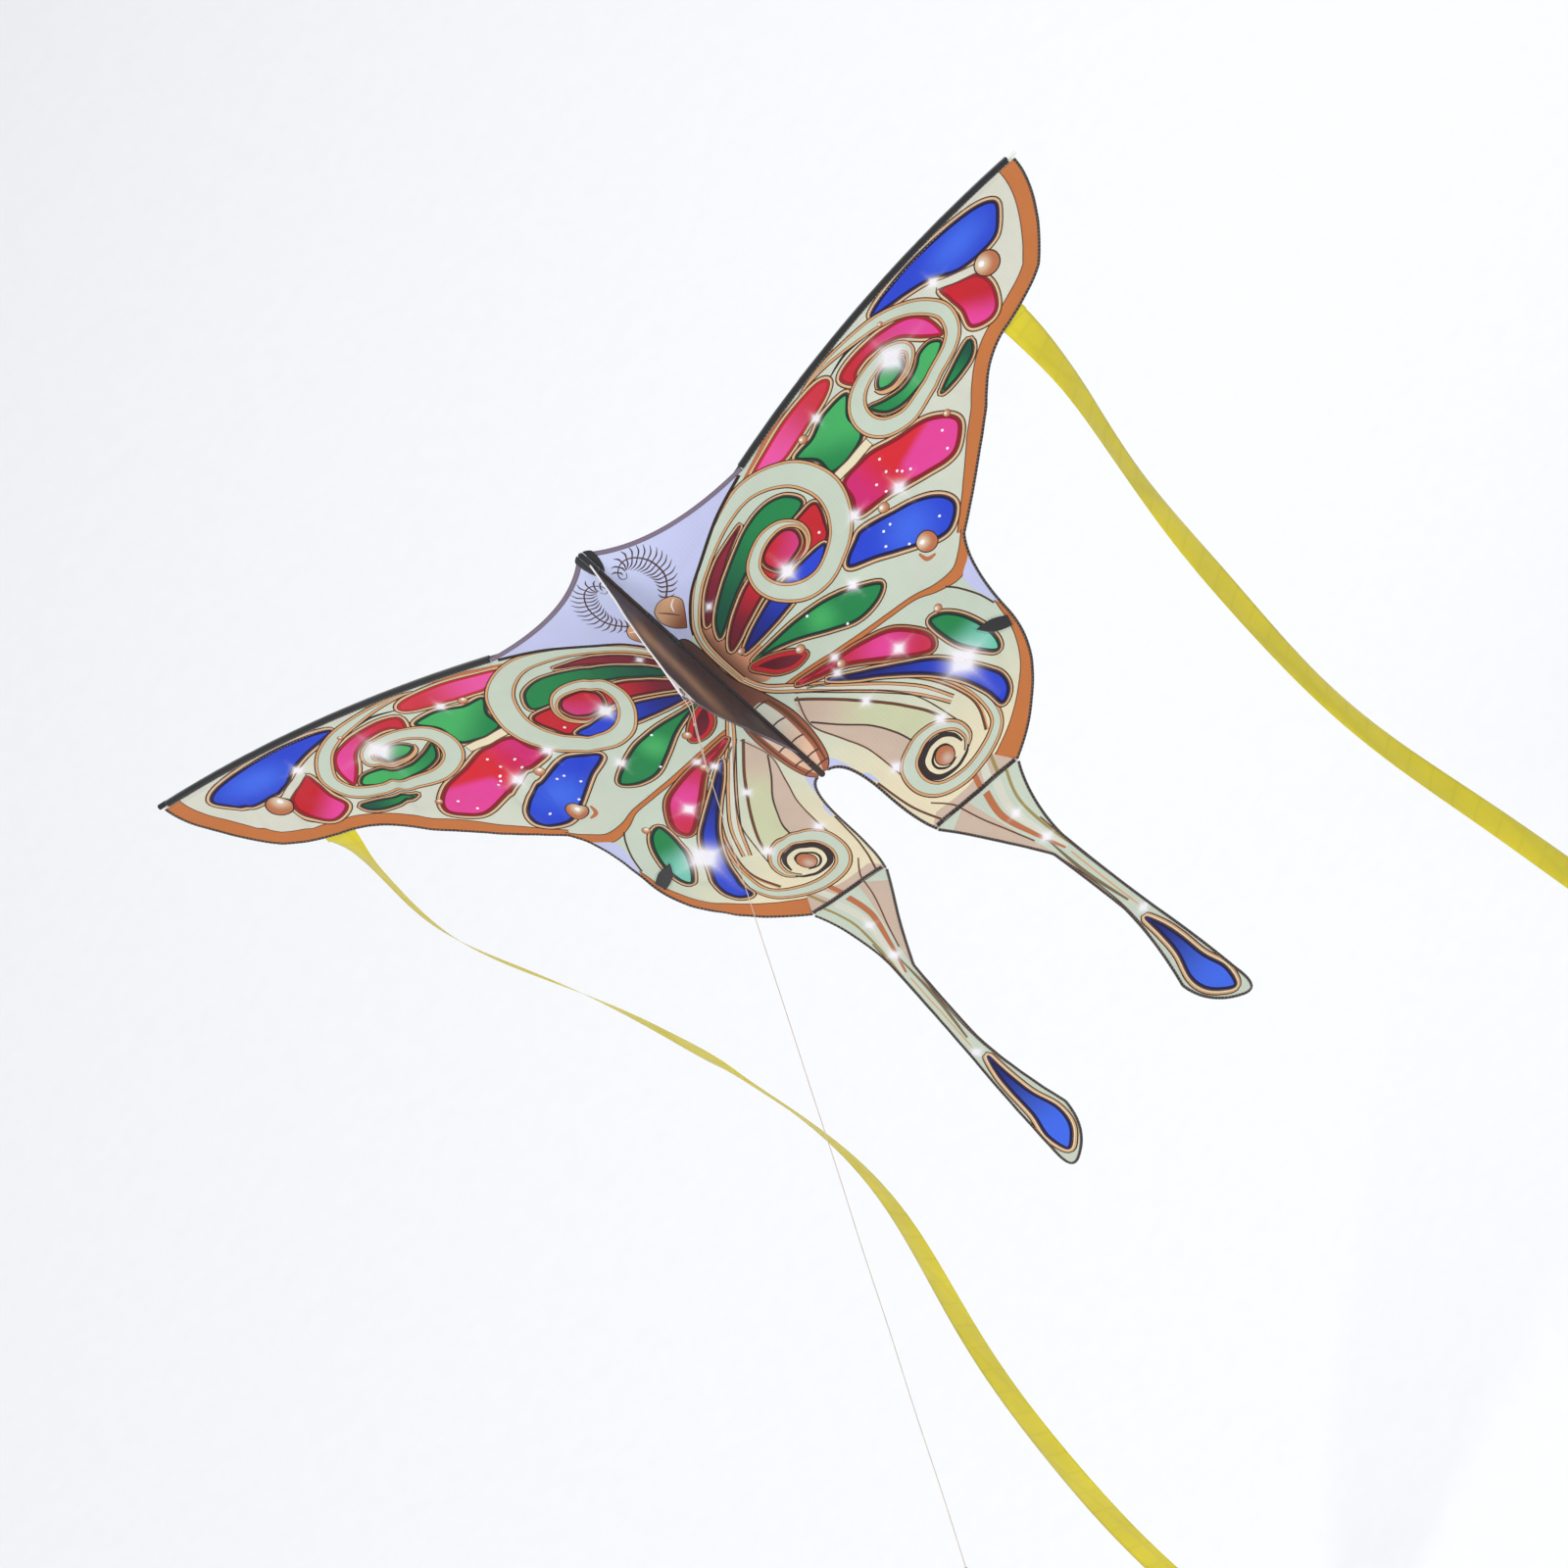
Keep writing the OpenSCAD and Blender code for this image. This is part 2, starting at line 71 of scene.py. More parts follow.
MM = 0.001
SIDES = {"right": 1, "left": -1}
DIHEDRAL = math.radians(18)
spine_low, spine_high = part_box("spine_rod")
NOSE = np.array([0, (spine_low.y + spine_high.y) / 2, spine_high.z + 4 * MM])


# ---- Camera ----

AIM = Vector((0.028, -0.0805, -0.1477))
TOWARDS_CAMERA = Vector((0.267, -0.790, 0.551))
CAMERA_UP = Vector((0.584, 0.587, 0.558))
CAMERA_DISTANCE = 54
LENS, SENSOR = 1000, 36


def make_camera():
    back = TOWARDS_CAMERA.normalized()
    right = CAMERA_UP.cross(back).normalized()
    up = back.cross(right)
    data = bpy.data.cameras.new("camera")
    data.lens = LENS
    data.sensor_width = SENSOR
    data.clip_end = 200
    camera = bpy.data.objects.new("camera", data)
    bpy.context.scene.collection.objects.link(camera)
    turn = Matrix((right, up, back)).transposed().to_4x4()
    camera.matrix_world = Matrix.Translation(AIM + CAMERA_DISTANCE * back) @ turn
    bpy.context.scene.camera = camera


make_camera()


# ---- Materials ----

RIB_SHARP, RIB_HEIGHT, RIB_DARK = 24, 1.5, 0.05  # how narrow, high and dark the cloth's thick threads are
CLOTH_RELIEF, HARD_RELIEF = 0.35, 0.3
WEAVE_DEPTH = 0.12 * MM


def linear(colour):
    """Linear values of a colour given as three numbers from 0 to 255."""
    c = np.asarray(colour, float) / 255
    return np.where(c <= 0.04045, c / 12.92, ((c + 0.055) / 1.055) ** 2.4)


def new_material(name):
    material = bpy.data.materials.new(name)
    material.use_nodes = True
    tree = material.node_tree
    return material, tree, tree.nodes["Principled BSDF"]


def node(tree, kind, **inputs):
    made = tree.nodes.new(kind)
    for key, value in inputs.items():
        made.inputs[key.replace("_", " ")].default_value = value
    return made


def waves(tree, place, direction, period):
    """Even bands across one axis, one to each period in metres."""
    bands = node(tree, "ShaderNodeTexWave", Scale=math.pi / 10 / period)
    bands.bands_direction = direction
    tree.links.new(place.outputs["Object"], bands.inputs["Vector"])
    return bands.outputs["Fac"]


def maths(tree, operation, a, b):
    made = tree.nodes.new("ShaderNodeMath")
    made.operation = operation
    for socket, value in zip(made.inputs, (a, b)):
        if isinstance(value, (int, float)):
            socket.default_value = value
        else:
            tree.links.new(value, socket)
    return made.outputs[0]


def blotches(tree, place, scale, low, high):
    """Soft uneven grey between low and high, for dye and dirt."""
    cloud = node(tree, "ShaderNodeTexNoise", Scale=scale, Detail=4.0, Roughness=0.6)
    tree.links.new(place.outputs["Object"], cloud.inputs["Vector"])
    spread = node(tree, "ShaderNodeMapRange", From_Min=0.3, From_Max=0.7, To_Min=low, To_Max=high)
    tree.links.new(cloud.outputs["Fac"], spread.inputs["Value"])
    return spread.outputs["Result"]


def tinted(tree, colour, grey):
    mix = tree.nodes.new("ShaderNodeMix")
    mix.data_type = "RGBA"
    mix.blend_type = "MULTIPLY"
    mix.inputs[0].default_value = 1.0
    if isinstance(colour, bpy.types.NodeSocket):
        tree.links.new(colour, mix.inputs[6])
    else:
        mix.inputs[6].default_value = (*linear(colour), 1)
    tree.links.new(grey, mix.inputs[7])
    return mix.outputs[2]


def cloth(name, colour=None, rough=0.55, sheen=0.15, weave=0.5 * MM, lattice=5 * MM, clear=0.0, spread=0.12):
    """Woven cloth. With no colour it shows the mesh's corner colours: the print on sails and tails, the
    keel's brown with a painted highlight band, and the line's cream with painted shade in its grooves; clear
    is the share of light it lets through.
    """
    material, tree, shader = new_material(name)
    place = tree.nodes.new("ShaderNodeTexCoord")
    if colour is None:
        base = tree.nodes.new("ShaderNodeAttribute")
        base.attribute_name = "print_and_shade"
        colour = base.outputs["Color"]
    threads = maths(tree, "MULTIPLY", waves(tree, place, "X", weave), waves(tree, place, "Z", weave))
    squares = maths(tree, "MAXIMUM", waves(tree, place, "X", lattice), waves(tree, place, "Z", lattice))
    squares = maths(tree, "POWER", squares, RIB_SHARP)
    height = maths(tree, "ADD", threads, maths(tree, "MULTIPLY", squares, RIB_HEIGHT))
    lines = maths(tree, "MULTIPLY", squares, RIB_DARK)
    grey = maths(tree, "SUBTRACT", blotches(tree, place, 9, 1 - spread, 1), lines)
    shown = tinted(tree, colour, grey)
    bump = node(tree, "ShaderNodeBump", Strength=CLOTH_RELIEF, Distance=WEAVE_DEPTH)
    tree.links.new(height, bump.inputs["Height"])
    tree.links.new(bump.outputs["Normal"], shader.inputs["Normal"])
    tree.links.new(shown, shader.inputs["Base Color"])
    tree.links.new(blotches(tree, place, 40, rough - 0.08, rough + 0.08), shader.inputs["Roughness"])
    shader.inputs["Sheen Weight"].default_value = sheen
    shader.inputs["Specular IOR Level"].default_value = 0.3
    if clear > 0:
        through = tree.nodes.new("ShaderNodeBsdfTranslucent")
        mix = node(tree, "ShaderNodeMixShader", Fac=clear)
        tree.links.new(shown, through.inputs["Color"])
        tree.links.new(bump.outputs["Normal"], through.inputs["Normal"])
        tree.links.new(shader.outputs["BSDF"], mix.inputs[1])
        tree.links.new(through.outputs["BSDF"], mix.inputs[2])
        tree.links.new(mix.outputs["Shader"], tree.nodes["Material Output"].inputs["Surface"])
    return material


def hard(name, colour, rough, metal=0.0, grain=120, depth=0.05 * MM, stretch=(1, 1, 1), uneven=0.22):
    """Moulded plastic, pultruded rod or metal, with a fine grain and worn patches."""
    material, tree, shader = new_material(name)
    place = tree.nodes.new("ShaderNodeTexCoord")
    scaled = node(tree, "ShaderNodeMapping", Scale=stretch)
    tree.links.new(place.outputs["Object"], scaled.inputs["Vector"])
    cloud = node(tree, "ShaderNodeTexNoise", Scale=grain, Detail=5.0)
    tree.links.new(scaled.outputs["Vector"], cloud.inputs["Vector"])
    bump = node(tree, "ShaderNodeBump", Strength=HARD_RELIEF, Distance=depth)
    tree.links.new(cloud.outputs["Fac"], bump.inputs["Height"])
    tree.links.new(bump.outputs["Normal"], shader.inputs["Normal"])
    shown = tinted(tree, colour, blotches(tree, place, 30, 1 - uneven, 1.0))
    tree.links.new(shown, shader.inputs["Base Color"])
    tree.links.new(blotches(tree, place, 55, rough - 0.07, rough + 0.1), shader.inputs["Roughness"])
    shader.inputs["Metallic"].default_value = metal
    return material


PRINTED = cloth("printed_sail", rough=0.5, sheen=0.04, clear=0.25, spread=0.07)
BLACK_CLOTH = cloth("black_webbing", (20, 19, 22), rough=0.5, sheen=0.35, weave=0.9 * MM, lattice=9 * MM)
DARK_TAPE = cloth("dark_edge_tape", (44, 27, 27), rough=0.6, weave=0.8 * MM, lattice=9 * MM)
MAUVE_TAPE = cloth("mauve_tape", (120, 106, 124), rough=0.6, weave=0.8 * MM, lattice=9 * MM)
BROWN_CLOTH = cloth("brown_pocket", (50, 33, 28), rough=0.6, weave=0.9 * MM, lattice=9 * MM)
WHITE_CLOTH = cloth("white_piping", (226, 221, 222), rough=0.6, weave=0.7 * MM, lattice=9 * MM)
KEEL_CLOTH = cloth("keel_cloth", rough=0.5, sheen=0.08, clear=0.07, weave=0.7 * MM)
YELLOW_CLOTH = cloth("yellow_ribbon", (230, 216, 50), rough=0.42, sheen=0.2, clear=0.3, weave=0.45 * MM,
                     lattice=40 * MM)
THREAD = cloth("sewing_thread", (196, 190, 176), rough=0.7, weave=0.3 * MM, lattice=9 * MM)
DARK_THREAD = cloth("dark_thread", (34, 28, 30), rough=0.7, weave=0.3 * MM, lattice=9 * MM)
LINE_CORD = cloth("twisted_line", rough=0.6, sheen=0.2, weave=0.3 * MM, lattice=9 * MM)
ROD = hard("glass_fibre_rod", (38, 38, 41), 0.36, stretch=(1, 1, 0.05))
BLACK_PLASTIC = hard("black_moulding", (22, 22, 24), 0.42, grain=400)
WHITE_PLASTIC = hard("white_moulding", (232, 232, 228), 0.35, grain=400)
EYELET_METAL = hard("nickel_eyelet", (196, 190, 178), 0.26, metal=1.0, grain=700, depth=0.02 * MM)


# ---- Shapes on a wing ----


def unit(v):
    return v / np.linalg.norm(v)


def units(rows):
    return rows / np.linalg.norm(rows, axis=1, keepdims=True)


def gone_along(path):
    """Length of the way to each point of a path."""
    return np.concatenate([[0], np.cumsum(np.linalg.norm(np.diff(path, axis=0), axis=1))])


def bends(start, *legs):
    """A chain of quadratic curves. A leg is the point it is drawn towards, its end and its count."""
    made = []
    for towards, end, count in legs:
        a, b, c = (np.array(q) for q in (start, end, towards))
        t = np.arange(count)[:, None] / count
        made.append(a * (1 - t) ** 2 + 2 * c * t * (1 - t) + b * t**2)
        start = end
    return np.concatenate([*made, [start]])


def along(points, step):
    """Points evenly spaced along a path, both ends included."""
    points = np.asarray(points, float)
    run = gone_along(points)
    even = np.linspace(0, run[-1], max(2, round(run[-1] / step) + 1))
    return np.stack([np.interp(even, run, points[:, i]) for i in range(points.shape[1])], axis=1)


def normals_of(path, closed=False):
    """Unit vectors to the left of a flat path."""
    if closed:
        d = np.roll(path, -1, axis=0) - np.roll(path, 1, axis=0)
    else:
        d = np.gradient(path, axis=0)
    d = d / np.maximum(np.linalg.norm(d, axis=1, keepdims=True), 1e-9)
    return np.stack([-d[:, 1], d[:, 0]], axis=1)


def curve(points, closed=False, step=3.0):
    """Smooth curve through points, one every step or so; a point given twice is a corner."""
    p = np.asarray(points, float)
    n = len(p)
    last = n if closed else n - 1
    made = []
    for i in range(last):
        b, c = p[i], p[(i + 1) % n]
        gap = np.linalg.norm(c - b)
        if gap < 1e-6:
            continue
        a = p[i - 1] if closed or i > 0 else b
        d = p[(i + 2) % n] if closed or i + 2 < n else c
        t = np.arange(max(2, round(gap / step)))[:, None]
        t = t / len(t)
        bow = (2 * b + (c - a) * t + (2 * a - 5 * b + 4 * c - d) * t**2 + (3 * b - a - 3 * c + d) * t**3) / 2
        made.append(bow)
    if not closed:
        made.append(p[-1:])
    return np.concatenate(made)


EDGE_R = 1700
EDGE_CENTRE = np.array([520, -1758.5])
SLEEVE_START, TIP_W = 214, 728
SEAM_OUT, SEAM_IN = np.array([178, -693]), np.array([44, -673])
ROOT_W = 3.9  # from the spine's axis to the cloth
HEM_W, HEAD_TAPE_W, SEAM_TAPE_W = 4, 7, 7
TAPE_T, SHEET_T, KEEL_T, RIBBON_T = 1.2, 0.3, 0.35, 0.25
STITCH_IN, STITCH_UP = 0.9, 0.6  # from a tape's edge, and off the cloth
CLOTH_IN = 1.5  # how far the cloth's edge lies inside its tape's
STRUT_ROOT, STRUT_TIP = np.array([0, -190]), np.array([287, -532])
STRUT_LONG = np.linalg.norm(STRUT_TIP - STRUT_ROOT)
STRUT_RUN = (STRUT_TIP - STRUT_ROOT) / STRUT_LONG
STRUT_LEFT = np.array([-STRUT_RUN[1], STRUT_RUN[0]])


def edge_z(w, inset=0):
    """Height of the leading edge's arc at w, or of an arc that far inside it."""
    return EDGE_CENTRE[1] + np.sqrt((EDGE_R - inset) ** 2 - (w - EDGE_CENTRE[0]) ** 2)


def edge_arc(w0, w1, inset, step=8):
    w = np.linspace(w0, w1, max(2, round(abs(w1 - w0) / step)))
    return np.stack([w, edge_z(w, inset)], axis=1)


HEAD_EDGE = bends((10, -8), ((78, -80), (214, -88), 24))
TRAILING_EDGE = bends((728, -80), ((722, -150), (652, -219), 20), ((618, -240), (560, -247), 10),
                      ((520, -256), (478, -304), 10), ((420, -352), (342, -408), 14),
                      ((314, -446), (309, -530), 14), ((298, -634), SEAM_OUT, 24))
INNER_EDGE = bends(SEAM_IN, ((33, -640), (33, -575), 12), ((32, -500), (8, -491), 12))
TAIL_TOP, TAIL_IN = SEAM_OUT - (0, 3), SEAM_IN - (0, 3)
TAIL_EDGE = bends(TAIL_TOP, ((150, -745), (147, -810), 14), ((150, -900), (158, -1000), 14),
                  ((166, -1080), (169, -1165), 14), ((174, -1218), (150, -1203), 10),
                  ((108, -1172), (104, -1118), 10), ((124, -1040), (127, -965), 14),
                  ((124, -900), (118, -825), 14), ((86, -752), TAIL_IN, 14))


def ease(t):
    t = np.clip(t, 0, 1)
    return t * t * (3 - 2 * t)


# Creases in the cloth: from (w, z) to (w, z), half width and height in millimetres
SHARED_CREASES = [((60, -60), (210, -100), 9, 1.0), ((30, -40), (120, -200), 10, 1.0),
                  ((290, -95), (352, -395), 11, 1.6), ((420, -85), (470, -300), 9, 1.4),
                  ((560, -80), (565, -240), 9, 1.6), ((640, -85), (655, -205), 8, 1.2),
                  ((283, -520), (120, -430), 8, 1.6), ((283, -520), (180, -640), 8, 1.8),
                  ((283, -530), (250, -655), 6, 1.2), ((60, -470), (140, -670), 8, 1.3),
                  ((330, -420), (240, -250), 9, 1.5)]
LEFT_CREASES = [((335, -400), (300, -210), 7, -3.4), ((350, -395), (345, -230), 6, 2.8),
                ((320, -400), (225, -290), 7, 3.0), ((480, -290), (450, -130), 6, -2.0),
                ((600, -235), (590, -110), 6, 2.2), ((655, -210), (640, -110), 5, -1.8),
                ((100, -150), (250, -330), 8, 2.0), ((60, -480), (150, -600), 6, 2.0)]


def crease(p, start, end, half_width, height):
    a, b = np.array(start), np.array(end)
    d = b - a
    length = np.linalg.norm(d)
    t = (p - a) @ d / length**2
    off = (p - a) @ np.array([-d[1], d[0]]) / length
    return height * np.exp(-((off / half_width) ** 2)) * ease(t / 0.3) * ease((1 - t) / 0.3)


def ripple(p, side, scale, seed):
    """Smooth noise from -1 to 1 over a wing."""
    return np.array([noise.noise((w / scale, z / scale, seed + 7 * side)) for w, z in p])


def sail_depth(side, p):
    """How far forwards of its plane a sail lies: wind pushes it back between the rods, and it creases."""
    p = np.asarray(p, float)
    above = (p - STRUT_ROOT) @ STRUT_LEFT
    under_edge = edge_z(np.clip(p[:, 0], 0, TIP_W)) - p[:, 1]
    near_root = ease((p[:, 0] - ROOT_W) / 60)
    front = -8 * ease(above / 110) * ease((under_edge - 12) / 90) * near_root
    hind = -6 * ease(-above / 90) * near_root
    free = near_root * ease((under_edge - 16) / 40) * ease((np.abs(above) - 4) / 30)
    folds = sum(crease(p, *c) for c in SHARED_CREASES)
    if side < 0:
        folds = 1.3 * folds + 1.5 * sum(crease(p, *c) for c in LEFT_CREASES)
    rough = 2.2 * ripple(p, side, 70, 3) + 0.7 * ripple(p, side, 22, 5)
    return front + hind + free * (folds + rough)


def tail_depth(side, p):
    """A swallow tail starts as the sail's lower edge lies, and waves further down. The wind lifts
    the right one back and the left one forwards."""
    p = np.asarray(p, float)
    down = np.clip(-690 - p[:, 1], 0, None)
    top = np.stack([np.clip(p[:, 0], SEAM_IN[0], SEAM_OUT[0]), np.full(len(p), -684.0)], axis=1)
    start = sail_depth(side, top) * (1 - ease(down / 80))
    wave = 5 * np.sin(down / 105 + 0.6 * side) * ease(down / 150)
    curl = 0.10 * (p[:, 0] - 140) * np.sin(down / 150 + side) * ease(down / 120)
    lift = -side * (34 - 6 * side) * np.clip(down / 510, 0, 1.1) ** 1.7
    return start + wave + curl + lift + 0.6 * ripple(p, side, 25, 11)


def on_wing(side, p, depth=0.0):
    """Places in the row frame, in metres, of points on a wing, in millimetres."""
    p = np.asarray(p, float)
    depth = np.broadcast_to(depth, len(p))
    c, s = math.cos(DIHEDRAL), math.sin(DIHEDRAL)
    made = np.stack([side * (p[:, 0] * c + depth * s), p[:, 0] * s - depth * c, p[:, 1]], axis=1)
    return made * MM + NOSE


# ---- Meshes ----


def add_mesh(name, verts, faces, material, smooth=True, colours=None):
    """A new object with this mesh. colours is one linear colour for each corner of each face."""
    mesh = bpy.data.meshes.new(name)
    mesh.from_pydata([tuple(v) for v in verts], [], [tuple(int(i) for i in f) for f in faces])
    mesh.materials.append(material)
    if smooth:
        mesh.polygons.foreach_set("use_smooth", [True] * len(mesh.polygons))
    if colours is not None:
        # The attribute holds the print on the sails and tails, and the cloth's own colour with painted
        # highlight and shade on the keel and the line.
        layer = mesh.color_attributes.new("print_and_shade", "FLOAT_COLOR", "CORNER")
        rgba = np.concatenate([colours, np.ones((len(colours), 1))], axis=1)
        layer.data.foreach_set("color", rgba.astype(np.float32).ravel())
    made = bpy.data.objects.new(name, mesh)
    bpy.context.scene.collection.objects.link(made)
    return made


def loft(rings, first=0):
    """Verts and faces of a closed skin over rings of the same number of points."""
    rings = np.asarray(rings)
    count, sides = rings.shape[:2]
    i = np.arange(count - 1)[:, None] * sides
    j = np.arange(sides)[None, :]
    n = (j + 1) % sides
    quads = np.stack([i + j, i + n, i + sides + n, i + sides + j], axis=-1).reshape(-1, 4) + first
    faces = [tuple(q) for q in quads]
    faces.append(tuple(first + k for k in range(sides - 1, -1, -1)))
    faces.append(tuple(first + (count - 1) * sides + k for k in range(sides)))
    return rings.reshape(-1, 3), faces


def flat_section(width, thick):
    """Outline of a flat tape with rounded edges, as (across, up)."""
    turn = np.linspace(0, 2 * np.pi, 12, endpoint=False)
    x = np.sign(np.cos(turn)) * np.abs(np.cos(turn)) ** 0.45
    y = np.sign(np.sin(turn)) * np.abs(np.sin(turn)) ** 0.8
    return np.stack([x * width / 2, y * thick / 2], axis=1)


def stitched(name, starts, ends, up, radius, material):
    """Stitches: short threads from starts to ends, standing a little out of the cloth along up. In metres."""
    verts, faces = [], []
    for k, (a, b, n) in enumerate(zip(starts, ends, up)):
        d = unit(b - a)
        side = np.cross(d, n)
        ring = np.array([side * math.cos(q) + n * math.sin(q) for q in np.linspace(0, 2 * np.pi, 5)[:-1]])
        steps = ((0, 0.3, 0), (0.25, 1, 0.6), (0.75, 1, 0.6), (1, 0.3, 0))
        rings = [a + (b - a) * t + n * radius * lift + radius * size * ring for t, size, lift in steps]
        more, quads = loft(rings, first=k * len(steps) * len(ring))
        verts.append(more)
        faces.extend(quads)
    return add_mesh(name, np.concatenate(verts), faces, material)


def inside(outline, p):
    """Which points lie in a closed outline, where it may cross itself."""
    found = np.zeros(len(p), bool)
    low, high = outline.min(0), outline.max(0)
    near = np.flatnonzero(((p >= low) & (p <= high)).all(axis=1))
    a, b = outline, np.roll(outline, -1, axis=0)
    for start in range(0, len(near), 4000):
        part = near[start : start + 4000]
        x, y = p[part, 0][:, None], p[part, 1][:, None]
        left = (b[:, 0] - a[:, 0]) * (y - a[:, 1]) - (x - a[:, 0]) * (b[:, 1] - a[:, 1])
        rising = (a[:, 1] <= y) & (b[:, 1] > y) & (left > 0)
        falling = (a[:, 1] > y) & (b[:, 1] <= y) & (left < 0)
        found[part] = (rising.sum(1) - falling.sum(1)) != 0
    return found


def triangulated(outline, shapes, pitch, extra=()):
    """A flat net with an edge along every shape: points, triangles, and each triangle's top shape."""
    low, high = outline.min(0), outline.max(0)
    across, down = np.meshgrid(np.arange(low[0], high[0], pitch), np.arange(low[1], high[1], pitch * 0.87))
    across[::2] += pitch / 2
    grid = np.stack([across.ravel(), down.ravel()], axis=1)
    grid = grid[inside(outline, grid)]
    points, edges = [], []
    for ring in [outline, *[s[0] for s in shapes]]:
        first = sum(len(q) for q in points)
        points.append(ring)
        edges += [(first + i, first + (i + 1) % len(ring)) for i in range(len(ring))]
    points += [grid, *extra]
    flat = [Vector(q) for q in np.concatenate(points)]
    verts, _, faces, *_ = geometry.delaunay_2d_cdt(flat, edges, [], 0, 0.02)
    verts = np.array([tuple(v) for v in verts])
    faces = np.array([f for f in faces if len(f) == 3])
    middle = verts[faces].mean(axis=1)
    kept = inside(outline, middle)
    faces, middle = faces[kept], middle[kept]
    top = np.full(len(faces), -1)
    for i, (ring, _) in enumerate(shapes):
        top[inside(ring, middle)] = i
    used, faces = np.unique(faces, return_inverse=True)
    return verts[used], faces.reshape(-1, 3), top


# ---- Printing ----
# A print is a list of (outline, paint); a later shape covers an earlier one.
# A paint is a colour, or a function that gives the colours of points.

SAGE, CREAM, PALE = (206, 216, 200), (236, 226, 196), (222, 222, 208)
GOLD, COPPER, BORDER = (222, 172, 122), (196, 120, 78), (204, 124, 66)
INK, BROWN, UMBER = (52, 34, 28), (112, 70, 46), (84, 56, 50)
LAVENDER, PEACH, OLIVE, WHITE = (203, 207, 238), (212, 190, 172), (212, 214, 178), (250, 247, 252)
RED, PINK, MAROON, WINE = (205, 34, 46), (232, 70, 160), (120, 28, 48), (96, 16, 30)
GREEN, LIME, PINE, DEEP = (32, 140, 78), (72, 184, 104), (22, 88, 66), (12, 52, 44)
BLUE, AZURE, NAVY, NIGHT = (40, 72, 214), (66, 112, 236), (28, 36, 130), (16, 20, 74)


def fade(first, second, start, end):
    """A paint that turns from the first colour at start to the second at end."""
    a, d = np.array(start, float), np.array(end, float) - np.array(start, float)

    def paint(p):
        t = ease((p - a) @ d / (d @ d))[:, None]
        return linear(first) * (1 - t) + linear(second) * t

    return paint


def glow(edge, middle, centre, radius, squash=1.0):
    """A paint that brightens towards centre."""

    def paint(p):
        off = (p - np.array(centre)) / (radius, radius * squash)
        t = ease(1 - np.linalg.norm(off, axis=1))[:, None]
        return linear(edge) * (1 - t) + linear(middle) * t

    return paint


def painted(paint, p):
    return paint(p) if callable(paint) else np.broadcast_to(linear(paint), (len(p), 3))


def grown(ring, by):
    """A closed outline moved outwards by that much, or inwards if by is below 0."""
    area = np.sum(ring[:, 0] * np.roll(ring[:, 1], -1) - np.roll(ring[:, 0], -1) * ring[:, 1])
    return ring - by * math.copysign(1, area) * normals_of(ring, closed=True)


def stroke(points, widths, paint, step=3.0):
    """A brush line through points. widths is one width, or one for each point."""
    widths = np.broadcast_to(np.asarray(widths, float), len(points))
    made = curve(np.column_stack([np.asarray(points, float), widths]), step=step)
    path, half = made[:, :2], np.maximum(made[:, 2:], 0.3) / 2
    left = normals_of(path)
    return np.concatenate([path + left * half, (path - left * half)[::-1]]), paint


def edged(points, widths, paint, rim=3.0, step=3.0):
    """A brush line with a brown line on each side."""
    widths = np.asarray(widths, float)
    return [stroke(points, widths + rim, BROWN, step), stroke(points, widths, paint, step)]


def gem(points, rim, fill, frame_w=5.0, rim_w=4.0, metal=GOLD):
    """A glassy cell: a metal frame with dark lines, a deep rim and a bright middle."""
    ring = curve(points, closed=True, step=4.0)
    return [(grown(ring, frame_w + 1.7), INK), (grown(ring, frame_w), metal),
            (grown(ring, frame_w * 0.6), CREAM if metal == GOLD else GOLD), (grown(ring, 1.9), BROWN),
            (ring, rim), (grown(ring, -rim_w), fill)]


def band(points, widths, paint=SAGE, metal=GOLD, line=1.6, trim=4.4):
    """A pale scroll with a metal edge between two dark lines."""
    widths = np.broadcast_to(np.asarray(widths, float), len(points))
    layers = ((0, INK), (2 * line, metal), (2 * trim, BROWN), (2 * trim + line, paint))
    return [stroke(points, np.maximum(widths - less, 0.3), colour) for less, colour in layers]


def disc(centre, radius, paint, squash=1.0):
    turn = np.linspace(0, 2 * np.pi, 20, endpoint=False)
    return np.array(centre) + radius * np.stack([np.cos(turn), squash * np.sin(turn)], axis=1), paint


def bead(centre, radius, squash=1.0):
    x, z = centre
    shine = (x - radius * 0.3, z + radius * 0.3)
    metal = glow(COPPER, CREAM, shine, radius)
    return [disc(centre, radius, INK, squash), disc(centre, radius * 0.9, metal, squash),
            disc(shine, radius * 0.22, WHITE)]


def feeler():
    """Curled, feathered antenna on the head panel."""
    stem = [(33, -138), (45, -127), (53, -112), (54, -92), (50, -76), (40, -61), (27, -55), (15, -61),
            (12, -71), (18, -76), (22, -70)]
    made = [stroke(stem, [2.6, 2.4, 2.3, 2.2, 2, 1.9, 1.8, 1.6, 1.4, 1.2, 1], UMBER)]
    spine = along(curve(stem[:8], step=2), 7.5)
    for i, (at, left) in enumerate(zip(spine, normals_of(spine))):
        reach = 19 * math.sin(math.pi * (0.2 + 0.7 * i / len(spine)))
        run = np.array([left[1], -left[0]])
        for way in (1, -1):
            tip = at + way * reach * left + 0.35 * reach * run
            bulge = at + way * 0.55 * reach * left + 0.02 * reach * run
            made.append(stroke([at, bulge, tip], [1.6, 2.2, 0.7], UMBER))
    return made


